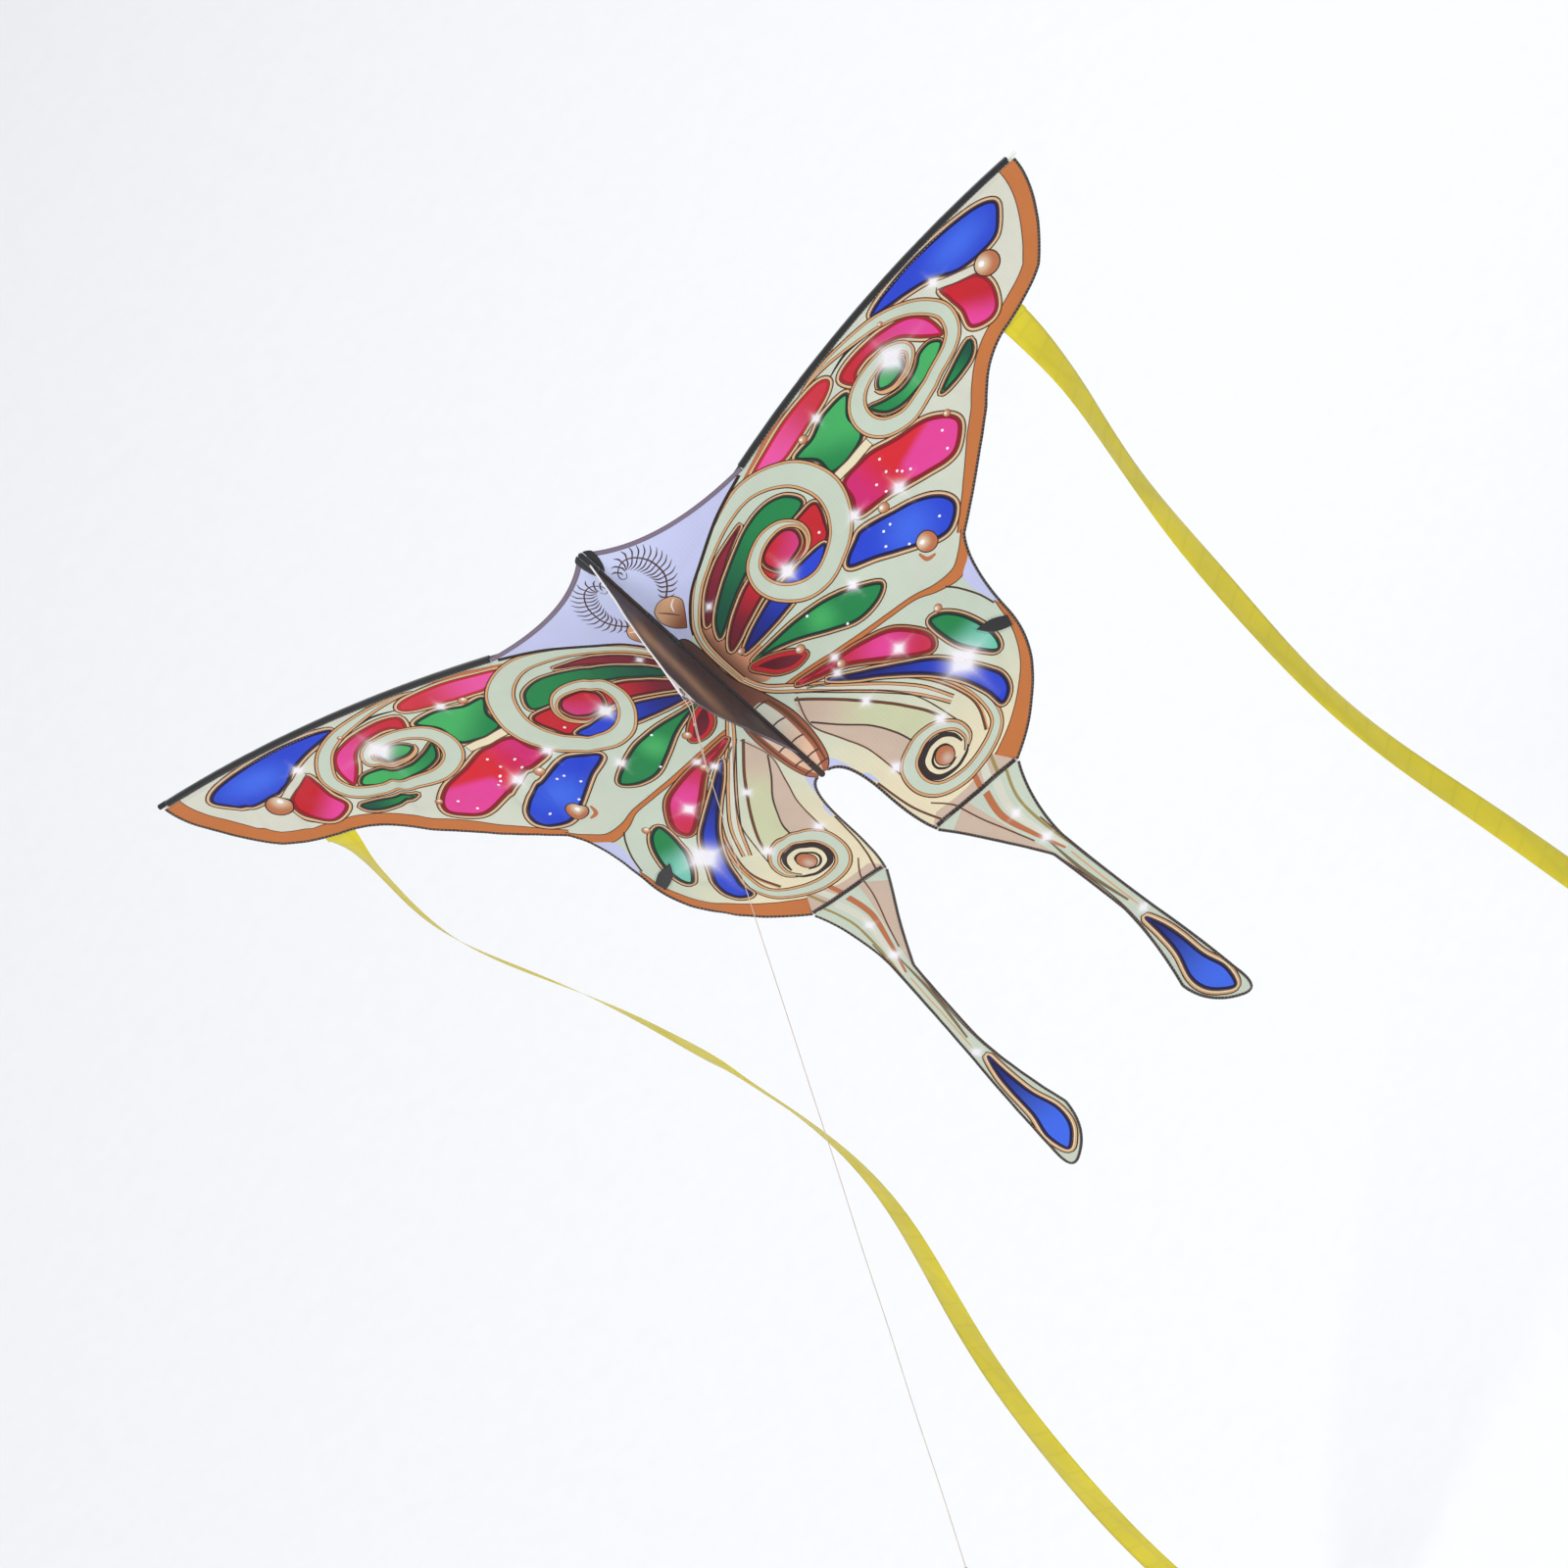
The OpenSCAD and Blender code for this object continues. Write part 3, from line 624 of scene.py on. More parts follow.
def head():
    """Pale panel beside the nose with the eye and the feeler."""
    panel = curve([(4, -4), (4, -4), (78, -34), (150, -70), (214, -84), (214, -84), (204, -97), (204, -97),
                   (170, -106), (140, -117), (100, -138), (60, -161), (34, -186), (18, -206), (4, -206),
                   (4, -206)], closed=True)
    eye = curve([(24, -136), (38, -144), (43, -158), (36, -172), (22, -191), (22, -191), (12, -178),
                 (6, -160), (8, -144), (14, -138)], closed=True, step=2)
    shape = [(panel, fade((214, 220, 246), LAVENDER, (10, -40), (120, -120)))]
    shape += feeler()
    shape += [(grown(eye, 1.2), UMBER), (eye, fade((226, 180, 140), (146, 88, 60), (16, -146), (26, -184)))]
    shape += [stroke([(12, -146), (20, -158), (28, -172)], [1, 2, 1], BROWN),
              stroke([(38, -148), (30, -152), (26, -162)], [1, 2.2, 1], WHITE)]
    return shape


def fan():
    """Cells that fan out from the body, inside and below the big scroll."""
    root = curve([(28, -204), (44, -190), (66, -200), (72, -250), (66, -300), (52, -332), (36, -332),
                  (24, -300), (22, -250)], closed=True)
    made = [(root, fade((138, 90, 70), (226, 160, 122), (24, -262), (48, -262)))]
    made += gem([(40, -212), (57, -191), (78, -175), (110, -158), (160, -150), (128, -165), (90, -187),
                 (60, -206)], WINE, fade(MAROON, (150, 34, 54), (50, -200), (140, -156)), frame_w=4,
                rim_w=2.5)
    made += gem([(40, -238), (52, -216), (80, -197), (122, -176), (165, -160), (200, -158), (226, -172),
                 (232, -200), (180, -204), (130, -205), (85, -219), (56, -233)], DEEP,
                fade(PINE, GREEN, (60, -220), (190, -176)), frame_w=4, rim_w=3)
    made += gem([(38, -264), (48, -248), (80, -228), (130, -214), (215, -208), (244, -212), (236, -240),
                 (215, -262), (150, -246), (110, -246), (75, -254), (56, -261)], WINE,
                fade(MAROON, RED, (60, -250), (130, -225)), frame_w=4, rim_w=3)
    made += gem([(48, -281), (70, -267), (110, -257), (160, -256), (214, -262), (192, -280), (150, -283),
                 (100, -284)], NIGHT, fade(NAVY, BLUE, (60, -275), (180, -268)), frame_w=4, rim_w=3)
    made += gem([(45, -299), (75, -299), (120, -304), (165, -318), (205, -343), (226, -364), (206, -375),
                 (172, -372), (140, -352), (105, -326), (75, -310)], DEEP,
                glow(GREEN, LIME, (143, -330), 34, 1.1), frame_w=4, rim_w=3.5)
    made += gem([(39, -303), (62, -311), (88, -331), (98, -350), (78, -353), (58, -341), (46, -322)],
                RED, fade(WINE, MAROON, (60, -320), (80, -348)), frame_w=3.5, rim_w=5, metal=COPPER)
    return made + bead((97, -338), 7) + bead((46, -275), 5.5)


def scroll_big():
    points = [(20, -306), (19, -262), (21, -230), (29, -205), (45, -185), (70, -164), (102, -144),
              (145, -126), (190, -119), (226, -132), (254, -160), (267, -200), (262, -235), (243, -265),
              (215, -285), (185, -294), (156, -286), (134, -264), (125, -238), (130, -214), (146, -199),
              (168, -192), (190, -194), (205, -206), (211, -222), (207, -238), (195, -249), (178, -252)]
    widths = [11, 12, 13, 14, 16, 18, 21, 25, 32, 37, 40, 40, 38, 35, 33, 32, 30, 27, 26, 24, 22, 21, 17,
              13, 11, 10, 8, 4]
    eye = gem([(145, -222), (152, -208), (172, -202), (192, -204), (202, -218), (196, -236), (178, -243),
               (154, -243)], WINE, fade(RED, (214, 60, 130), (160, -208), (180, -242)), frame_w=3, rim_w=3)
    return eye + band(points, widths)


def scroll_small():
    points = [(330, -82), (352, -79), (385, -79), (422, -84), (460, -93), (492, -110), (514, -133),
              (527, -160), (520, -186), (500, -202), (465, -213), (430, -223), (400, -226), (375, -216),
              (362, -198), (361, -176), (371, -157), (390, -144), (415, -138), (440, -138), (458, -148),
              (463, -161), (454, -173), (438, -181), (418, -183), (402, -176), (397, -165)]
    widths = [3, 8, 13, 18, 22, 24, 26, 26, 25, 24, 23, 25, 28, 30, 31, 30, 28, 26, 24, 22, 20, 17, 13, 11,
              9, 8, 4]
    under = gem([(376, -176), (388, -201), (420, -211), (465, -205), (497, -190), (488, -176), (468, -176),
                 (452, -186), (425, -193), (398, -186)], DEEP, fade(GREEN, LIME, (390, -195), (460, -195)),
                frame_w=3, rim_w=3)
    eye = gem([(402, -168), (415, -154), (436, -152), (449, -162), (438, -174), (416, -177)], DEEP,
              fade(LIME, GREEN, (405, -165), (445, -165)), frame_w=3, rim_w=2.5)
    return under + eye + band(points, widths)


def fore_wing():
    """Cells of the outer fore wing."""
    made = gem([(214, -112), (252, -100), (300, -90), (352, -89), (367, -100), (350, -113), (305, -124),
                (258, -132), (238, -122)], RED,
               fade((238, 90, 170), (214, 52, 70), (250, -118), (340, -98)), rim_w=3.5)
    made += gem([(268, -144), (300, -141), (335, -130), (371, -135), (352, -162), (344, -198), (288, -202),
                 (284, -172)], DEEP, fade(GREEN, LIME, (290, -190), (320, -150)), rim_w=4)
    made += gem([(378, -112), (405, -103), (450, -107), (490, -124), (508, -152), (506, -182), (486, -164),
                 (464, -136), (430, -121), (400, -123), (386, -136)], (176, 26, 40),
                fade((206, 40, 56), PINK, (400, -110), (485, -145)), rim_w=4)
    made += gem([(287, -222), (330, -220), (372, -236), (412, -248), (438, -272), (438, -294), (406, -316),
                 (365, -306), (318, -286), (269, -273), (278, -248)], (150, 18, 34), parting, rim_w=5)
    made += gem([(450, -239), (480, -228), (521, -216), (521, -228), (505, -239), (475, -243)], DEEP,
                fade(GREEN, PINE, (470, -236), (515, -225)), frame_w=4, rim_w=3)
    made += gem([(213, -312), (244, -293), (262, -290), (300, -306), (335, -322), (358, -345), (360, -368),
                 (336, -386), (314, -383), (284, -363), (248, -336)], NIGHT,
                glow(BLUE, AZURE, (300, -340), 60), rim_w=4)
    made += gem([(462, -84), (482, -74), (540, -70), (600, -75), (650, -86), (671, -102), (662, -122),
                 (638, -142), (606, -142), (575, -134), (548, -114), (512, -99)], NIGHT,
                glow(BLUE, AZURE, (600, -104), 80, 0.5), rim_w=4)
    made += gem([(545, -134), (568, -145), (590, -162), (593, -188), (578, -215), (556, -219), (536, -206),
                 (543, -180), (543, -156)], (160, 22, 38),
                fade(PINK, (204, 30, 44), (548, -206), (572, -176)), rim_w=4)
    made += [stroke([(470, -176), (496, -192)], 15, BROWN), stroke([(471, -177), (495, -191)], 12, CREAM),
             stroke([(286, -210), (346, -210)], 16, BROWN), stroke([(287, -210), (345, -210)], 12, CREAM),
             *edged([(545, -126), (575, -143), (592, -152)], 11, PALE, rim=4)]
    made += [stroke([(204, -106), (240, -96), (280, -84), (330, -75), (400, -72)], [3, 6, 7, 6, 2], COPPER),
             stroke([(372, -98), (410, -91), (462, -101)], [2, 4, 2], INK)]
    return made


def parting(p):
    """Magenta, red and bright pink lobes of the large red cell."""
    red = fade((214, 40, 120), (222, 38, 52), (290, -250), (345, -250))(p)
    lobe = ease((-262 - p[:, 1] + 0.25 * (p[:, 0] - 350)) / 14) * ease((p[:, 0] - 335) / 24)
    return red * (1 - lobe[:, None]) + linear(PINK) * lobe[:, None]


def fore_beads():
    made = bead((608, -160), 19) + bead((302, -374), 15, 1.1) + bead((292, -133), 7) + bead((297, -292), 8)
    made += bead((437, -266), 5.5) + bead((462, -100), 4)
    made += [stroke([(284, -378), (286, -392), (298, -396)], [3, 6, 3], COPPER)]
    return made


def hind_wing():
    """Cells of the hind wing."""
    made = gem([(62, -372), (110, -384), (150, -396), (190, -416), (212, -446), (219, -470), (208, -484),
                (190, -474), (156, -441), (118, -404), (84, -388)], (150, 20, 34),
               glow((208, 44, 80), PINK, (170, -428), 58, 0.9), frame_w=4, rim_w=5, metal=COPPER)
    made += gem([(92, -400), (130, -432), (172, -468), (204, -500), (228, -545), (243, -585), (236, -612),
                 (216, -619), (214, -590), (203, -548), (180, -505), (146, -464), (112, -428)], NIGHT,
                fade(NAVY, BLUE, (130, -440), (210, -540)), frame_w=4, rim_w=4)
    made += gem([(229, -453), (248, -456), (264, -480), (273, -515), (272, -545), (262, -557), (246, -536),
                 (231, -500)], DEEP, fade(GREEN, (120, 206, 184), (248, -480), (246, -524)), frame_w=4,
                rim_w=4)
    made += bead((250, -448), 6) + bead((118, -398), 6.5)
    return made


SWEEPS = [
    ([(50, -385), (36, -428), (50, -478), (62, -520), (65, -580)], 2.2, BROWN),
    ([(38, -425), (60, -460), (85, -495), (100, -530), (106, -556)], 2.6, UMBER),
    ([(45, -385), (80, -430), (100, -460), (125, -500), (145, -540), (153, -566)], 4.2, BROWN),
    ([(52, -380), (92, -426), (128, -475), (152, -520), (163, -584)], 2.0, UMBER),
    ([(70, -385), (110, -425), (150, -470), (180, -520), (194, -570), (192, -600), (178, -628)], 4.6, BROWN),
    ([(72, -387), (112, -427), (152, -472), (182, -522), (196, -572), (194, -602), (180, -630)], 2.2, GOLD)]


def hind_sweeps():
    """Flowing lines below the cells, and the small scroll at their end."""
    between = curve([(38, -395), (38, -395), (52, -425), (78, -462), (100, -500), (112, -556), (70, -572),
                     (63, -520), (46, -470), (36, -430)], closed=True)
    second = curve([(42, -388), (42, -388), (80, -430), (104, -466), (132, -510), (150, -566), (110, -556),
                    (102, -530), (84, -494), (58, -456), (40, -425)], closed=True)
    made = [(between, PEACH), (second, fade(PEACH, OLIVE, (60, -420), (100, -480)))]
    made += band([(19, -270), (20, -302), (30, -336), (50, -366), (84, -410), (124, -462), (158, -512),
                  (178, -560)], [12, 12, 12, 14, 14, 16, 17, 14], paint=PALE)
    made += band([(66, -388), (118, -432), (168, -486), (196, -540), (206, -590), (196, -630), (160, -648),
                  (120, -650), (86, -637), (72, -612), (78, -582), (104, -566), (134, -568), (156, -588),
                  (158, -612), (142, -626)], [2, 4, 7, 12, 17, 19, 21, 22, 23, 25, 27, 24, 20, 17, 14, 5])
    made += [stroke(*sweep) for sweep in SWEEPS]
    made += [stroke([(148, -612), (146, -596), (134, -583), (112, -580), (94, -590), (88, -607), (96, -624),
                     (118, -632), (140, -629), (150, -622)], [3, 6, 7, 8, 9, 10, 8, 5, 4, 2], (58, 44, 44)),
             stroke([(134, -608), (130, -596), (116, -592), (104, -600), (102, -612), (112, -622),
                     (128, -621)], [2, 3, 3, 3.5, 3.5, 3, 2], INK)]
    made += [disc((120, -607), 14.5, INK), disc((120, -607), 13, glow(COPPER, PEACH, (120, -612), 13))]
    return made


def body():
    """Head, thorax and ringed abdomen along the spine."""
    thorax = curve([(4, -196), (4, -196), (11, -206), (13, -240), (12, -290), (27, -350), (34, -400),
                    (30, -445), (20, -478), (4, -490), (4, -490)], closed=True)
    light = curve([(4, -345), (4, -345), (16, -350), (21, -385), (20, -425), (16, -455), (4, -486),
                   (4, -486)], closed=True)
    made = [(grown(thorax, 1.5), INK), (thorax, fade((92, 62, 54), (178, 104, 74), (10, -250), (22, -470))),
            (light, fade(PALE, (232, 196, 168), (10, -360), (12, -450)))]
    for z in (-349, -386, -423, -455, -475):
        made.append(stroke([(4, z + 1), (12, z), (21, z - 4)], 2.4, UMBER))
    made += [stroke([(23, -352), (27, -390), (25, -440), (16, -478)], [3, 5, 4, 2], BROWN)]
    return made


def borders():
    """Copper border along the trailing edges, and the line between the fore and hind wing."""
    fore = along(TRAILING_EDGE[:55], 8)
    fore_w = np.interp(np.linspace(0, 1, len(fore)), [0, 0.3, 0.75, 1], [52, 46, 44, 22])
    hind = along(TRAILING_EDGE[64:], 8)
    hind_w = np.interp(np.linspace(0, 1, len(hind)), [0, 0.25, 0.6, 1], [8, 22, 40, 66])
    made = [*edged(fore, fore_w, BORDER, step=8), *edged(hind, hind_w, BORDER, step=8)]
    parted = [(52, -362), (100, -374), (150, -388), (200, -401), (240, -413), (268, -428), (300, -436),
              (326, -422), (346, -404)]
    made += edged(parted, [5, 6, 6, 5, 5, 9, 15, 13, 11], BORDER)
    notch = curve([(300, -446), (324, -432), (344, -411), (344, -411), (322, -444), (312, -490), (311, -520),
                   (311, -520), (304, -500), (298, -470)], closed=True)
    made += [(notch, LAVENDER), stroke([(276, -436), (286, -452), (297, -480), (302, -505)], 2.6, UMBER)]
    inner = curve([(4, -492), (20, -479), (28, -500), (33, -530), (40, -540), (40, -560), (26, -520),
                   (10, -494)], closed=True)
    return [*made, (inner, LAVENDER)]


def ground():
    """Warm tints of the pale cloth, under everything else."""
    lower = curve([(20, -330), (120, -380), (300, -430), (320, -560), (260, -690), (40, -690), (20, -560)],
                  closed=True)
    foot = curve([(60, -655), (60, -655), (110, -664), (170, -662), (170, -700), (40, -700), (40, -672)],
                 closed=True)
    made = [(lower, fade(SAGE, CREAM, (150, -420), (60, -600))), (foot, PEACH)]
    made += [stroke([(38, -560), (44, -620), (58, -668), (70, -700)], 3, BROWN),
             stroke([(64, -640), (82, -668), (90, -700)], [2, 2.4, 2.4], BROWN),
             stroke([(128, -655), (120, -680), (112, -712)], 8, COPPER),
             stroke([(146, -655), (134, -680), (124, -712)], [10, 12, 12], PALE),
             stroke([(160, -655), (150, -680), (140, -712)], 5, (168, 150, 92))]
    return made


SAIL_PRINT = [*ground(), *borders(), *hind_sweeps(), *hind_wing(), *fan(), *fore_wing(), *scroll_small(),
              *scroll_big(), *head(), *body(), *fore_beads(),
              stroke([(206, -96), (170, -106), (140, -117), (100, -138), (60, -161), (32, -188), (20, -206)],
                     [5, 5, 5, 5, 4.5, 4, 2.5], INK)]
STARS = [((158, -250), 15), ((440, -150), 24), ((265, -268), 11), ((328, -288), 13), ((322, -126), 9),
         ((200, -334), 10), ((222, -530), 30), ((180, -446), 11), ((118, -384), 8), ((106, -404), 8),
         ((104, -466), 9), ((68, -566), 10), ((150, -566), 11), ((545, -118), 10), ((60, -196), 6)]
SPARKLES = [(338, -239), (332, -258), (312, -261), (342, -270), (346, -276), (355, -283), (405, -303),
            (417, -279), (275, -314), (287, -315), (263, -333), (285, -357), (336, -362), (133, -312),
            (160, -364), (220, -246), (314, -278)]
SAIL_PRINT += [disc(at, 1.9, WHITE) for at in SPARKLES]

TAIL_PRINT = [
    stroke([(64, -690), (84, -730), (98, -770), (118, -830), (130, -900)], [70, 40, 26, 10, 6], PEACH),
    stroke([(84, -676), (92, -712), (104, -750), (116, -790)], 2.2, BROWN),
    stroke([(120, -690), (112, -730), (122, -780), (136, -830)], [10, 9, 6, 3], COPPER),
    stroke([(140, -690), (126, -730), (130, -780), (140, -830)], [12, 11, 8, 4], PALE),
    stroke([(158, -690), (142, -730), (140, -780), (146, -850)], [4, 4, 4, 2], (168, 150, 92)),
    stroke([(128, -800), (130, -880), (140, -960)], [2, 5, 3], (128, 116, 88)),
    stroke([(143, -770), (145, -850), (150, -930), (156, -1000), (162, -1080), (165, -1150)], 1.8, BROWN),
    stroke([(121, -830), (128, -890), (131, -960), (126, -1020), (112, -1085)], 1.8, BROWN),
    stroke([(137, -840), (141, -920), (146, -990)], 2, GOLD),
    *gem([(138, -1000), (147, -1030), (151, -1065), (153, -1110), (160, -1150), (152, -1182), (134, -1168),
          (122, -1146), (120, -1118), (132, -1076), (136, -1036)], NIGHT,
         fade(NAVY, AZURE, (140, -1020), (140, -1150)), frame_w=6, rim_w=3.5)]
TAIL_STARS = [((130, -798), 10), ((146, -986), 9), ((126, -742), 8)]


STAR_CORE, STAR_RAY, STAR_REACH = 1.1, 0.75, 2.6


def star_light(p, stars):
    """How white the cloth is printed at points near the stars: a soft glow with four thin rays."""
    share = np.zeros(len(p))
    for at, radius in stars:
        off = np.abs(p - np.array(at)) / radius
        far = np.linalg.norm(off, axis=1)
        rays = np.exp(-6 * off.min(axis=1) - 1.1 * off.max(axis=1))
        lit = np.clip(STAR_CORE * np.exp(-2.2 * far**2) + STAR_RAY * rays, 0, 0.95)
        share = np.maximum(share, lit * (far < STAR_REACH))
    return share


def star_points(stars):
    """Extra points in a net, so that a star's glow has a round shape."""
    turn = np.linspace(0, 2 * np.pi, 16, endpoint=False)
    circle = np.stack([np.cos(turn), np.sin(turn)], axis=1)
    sizes = (0.2, 0.45, 0.7, 1, 1.5)
    return [np.array(at) + radius * size * circle for at, radius in stars for size in sizes]


def print_colours(points, faces, top, shapes, stars):
    """Colour of every triangle's every corner."""
    corners = points[faces]
    flat = corners.reshape(-1, 2)
    shown = np.repeat(top, 3)
    colours = np.array(painted(fade(SAGE, PALE, (150, -150), (600, -200)), flat))
    for i, (_, paint) in enumerate(shapes):
        mine = shown == i
        if mine.any():
            colours[mine] = painted(paint, flat[mine])
    white = star_light(flat, stars)[:, None]
    return colours * (1 - white) + linear(WHITE) * white


SAIL_OUTLINE = np.concatenate([[[ROOT_W, -10]], HEAD_EDGE[:-1] - normals_of(HEAD_EDGE)[:-1] * CLOTH_IN,
                               edge_arc(SLEEVE_START, TIP_W - 4, 5),
                               TRAILING_EDGE[1:-1] - normals_of(TRAILING_EDGE)[1:-1] * CLOTH_IN,
                               [SEAM_OUT - (2, -1)], [SEAM_IN + (2, 1)],
                               INNER_EDGE[1:] - normals_of(INNER_EDGE)[1:] * CLOTH_IN, [[ROOT_W, -487]]])
TAIL_OUTLINE = np.concatenate([[SEAM_OUT + (-2, 3)], TAIL_EDGE[1:-1] - normals_of(TAIL_EDGE)[1:-1] * CLOTH_IN,
                               [SEAM_IN + (2, 3)]])


# ---- Sewing ----


def flat_depth(side, p):
    """The sleeve along the leading edge lies in the wing's plane, on both sides."""
    return 0.0


def laid(side, depth):
    """Places points of a wing as its cloth lies, lifted off it by lift."""
    return lambda p, lift=0.0: on_wing(side, p, depth(side, p) + lift)


def thicken(made, thick):
    modifier = made.modifiers.new("thickness", "SOLIDIFY")
    modifier.thickness = thick * MM
    modifier.offset = 0
    return made


def tape(name, cloth_at, path, inset, width, thick, material):
    """A folded tape whose middle lies that far inside path, following the cloth."""
    left = normals_of(path)
    a = cloth_at(path - left * (inset - width / 2))
    b = cloth_at(path - left * (inset + width / 2))
    centres = (a + b) / 2
    across = units(b - a)
    up = units(np.cross(across, np.gradient(centres, axis=0)))
    section = flat_section(width, thick) * MM
    rings = centres[:, None] + section[None, :, :1] * across[:, None] + section[None, :, 1:] * up[:, None]
    return add_mesh(name, *loft(rings), material)


def stitches(name, cloth_at, path, inset, lift, material, pitch=5.0):
    """A row of stitches that far inside path, on both faces of a piece."""
    spots = along(path, pitch)
    left = normals_of(spots)
    run = np.stack([left[:, 1], -left[:, 0]], axis=1) * 0.3 * pitch
    middle = spots - left * inset
    starts, ends, ups = [], [], []
    for face in (lift, -lift):
        starts.append(cloth_at(middle - run, face))
        ends.append(cloth_at(middle + run, face))
        ups.append(units(cloth_at(middle, face) - cloth_at(middle)))
    return stitched(name, *(np.concatenate(q) for q in (starts, ends, ups)), 0.2 * MM, material)


def patch(name, cloth_at, outline, lift):
    """A flat piece of black cloth sewn on another."""
    points, faces, _ = triangulated(outline, [], 3.0)
    return thicken(add_mesh(name, cloth_at(points, lift), faces, BLACK_CLOTH), 0.5)


def place(made, body, slot, *nodes):
    """Lets a piece ride on a body in place of CAD nodes. Its slot argument is not used."""
    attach(made, body)
    if nodes:
        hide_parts(*nodes)
    return made


# ---- Wings ----


def printed_sheet(net, colours, side, name, cloth_at):
    points, faces, _ = net
    if side < 0:
        faces = faces[:, ::-1]
        colours = colours.reshape(-1, 3, 3)[:, ::-1].reshape(-1, 3)
    return thicken(add_mesh(name, cloth_at(points), faces, PRINTED, colours=colours), SHEET_T)


def flat_area(points, faces):
    """Area of a flat net, in square metres."""
    a, b, c = (points[faces[:, i]] for i in range(3))
    return abs(np.cross(b - a, c - a)).sum() / 2 * MM * MM


def printed(outline, shapes, stars, pitch):
    """Net, colours and flat area of a piece of printed cloth."""
    net = triangulated(outline, shapes, pitch, star_points(stars))
    return net, print_colours(*net, shapes, stars), flat_area(*net[:2])


SEAM_PATH = along([SEAM_OUT - (4, 0), SEAM_IN + (4, 0)], 4)
NOSE_PATCH = curve([(4.6, -1), (4.6, -1), (9, -4), (14, -11), (13, -26), (9, -40), (4.6, -46), (4.6, -46)],
                   closed=True, step=2)
FLAP = curve([(262, -511), (262, -511), (284, -517), (302, -531), (302, -531), (297, -547), (297, -547),
              (284, -540), (272, -530)], closed=True, step=3)


def wing_trim(name, side):
    """Tapes and their stitches round one sail, and the patches on it."""
    cloth_at = laid(side, sail_depth)
    rows = [("head_binding", HEAD_EDGE, HEAD_TAPE_W, "mauve_tape", MAUVE_TAPE, DARK_THREAD),
            ("trailing_hem", TRAILING_EDGE, HEM_W, "dark_cloth", DARK_TAPE, THREAD),
            ("inner_hem", INNER_EDGE, HEM_W, "dark_cloth", DARK_TAPE, THREAD),
            ("seam_tape", SEAM_PATH, SEAM_TAPE_W, "dark_cloth", DARK_TAPE, THREAD)]
    made = []
    for part, path, width, slot, material, thread in rows:
        path = along(path, 4)
        bound = tape(f"{name}_{part}_cloth", cloth_at, path, width / 2, width, TAPE_T, material)
        made.append(place(bound, f"{name}_wing", slot, f"{name}_{part}"))
        for inset in (STITCH_IN, width - STITCH_IN):
            sewn = stitches(f"{name}_{part}_stitches", cloth_at, path, inset, STITCH_UP, thread)
            made.append(place(sewn, f"{name}_wing", slot))
    black = [patch(f"{name}_nose_patch", cloth_at, NOSE_PATCH, 0.5),
             patch(f"{name}_corner_flap", cloth_at, FLAP, 0.6),
             stitches(f"{name}_corner_stitches", cloth_at, FLAP[::-1], 2.2, 0.9, DARK_THREAD, 4.0)]
    return made + [place(piece, f"{name}_wing", "dark_cloth") for piece in black]


# Section of the leading edge sleeve: outwards from the edge's arc, and depth
SLEEVE_SECTION = np.array([(-15, -0.3), (-8.6, -0.3), (-8.5, 0.7), (-7, 0.85), (-4, 0.9), (-1.5, 0.3),
                           (-0.5, -1.5), (-0.6, -4.1), (-1.6, -6.4), (-4, -7.5), (-6.4, -6.4), (-7.3, -4.1),
                           (-7.2, -2.2), (-8.2, -1.3), (-12, -1.0), (-15, -0.9)])


def rod_sleeve(name, side):
    """Cloth sleeve round the rod along the leading edge, a little wrinkled, with two rows of stitches."""
    w = np.linspace(SLEEVE_START, TIP_W - 8, 220)
    turn = np.arccos((w - EDGE_CENTRE[0]) / EDGE_R)
    rings = []
    for q, at in zip(turn, w):
        flat = EDGE_CENTRE + (EDGE_R + SLEEVE_SECTION[:, :1]) * (math.cos(q), math.sin(q))
        wrinkle = 0.35 * noise.noise((at / 9, side * 3, 0)) + 0.35 * noise.noise((at / 31, side * 5, 2))
        free = np.abs(np.sin(np.arange(len(flat)) * 1.7 + at / 15)) * (SLEEVE_SECTION[:, 1] != -0.3)
        shape = SLEEVE_SECTION[:, 1] + wrinkle * free
        rings.append(on_wing(side, flat, shape))
    made = add_mesh(f"{name}_edge_sleeve", *loft(rings), BLACK_CLOTH)
    place(made, f"{name}_wing", "dark_cloth", f"{name}_rod_sleeve")
    edge = edge_arc(SLEEVE_START + 2, TIP_W - 10, 0, 4)
    sewn = [made]
    for inset, lift in ((7.4, 1.0), (13.6, 0.2)):
        threads = stitches(f"{name}_sleeve_stitches", laid(side, flat_depth), edge, inset, lift, THREAD)
        sewn.append(place(threads, f"{name}_wing", "dark_cloth"))
    return sewn


# Section of a corner pocket: across the strut, and depth; outside first, then back along the inside
POCKET_SECTION = np.array([(9, -0.5), (5.2, -1.2), (3.4, -3), (3.3, -4.9), (2.2, -6.6), (0, -7.3),
                           (-2.2, -6.6), (-3.3, -4.9), (-3.4, -3), (-5.2, -1.2), (-9, -0.5), (-9, -0.3),
                           (-4.9, -0.7), (-2.6, -2.6), (-2.6, -4.9), (-1.7, -6.1), (0, -6.6), (1.7, -6.1),
                           (2.6, -4.9), (2.6, -2.6), (4.9, -0.7), (9, -0.3)])


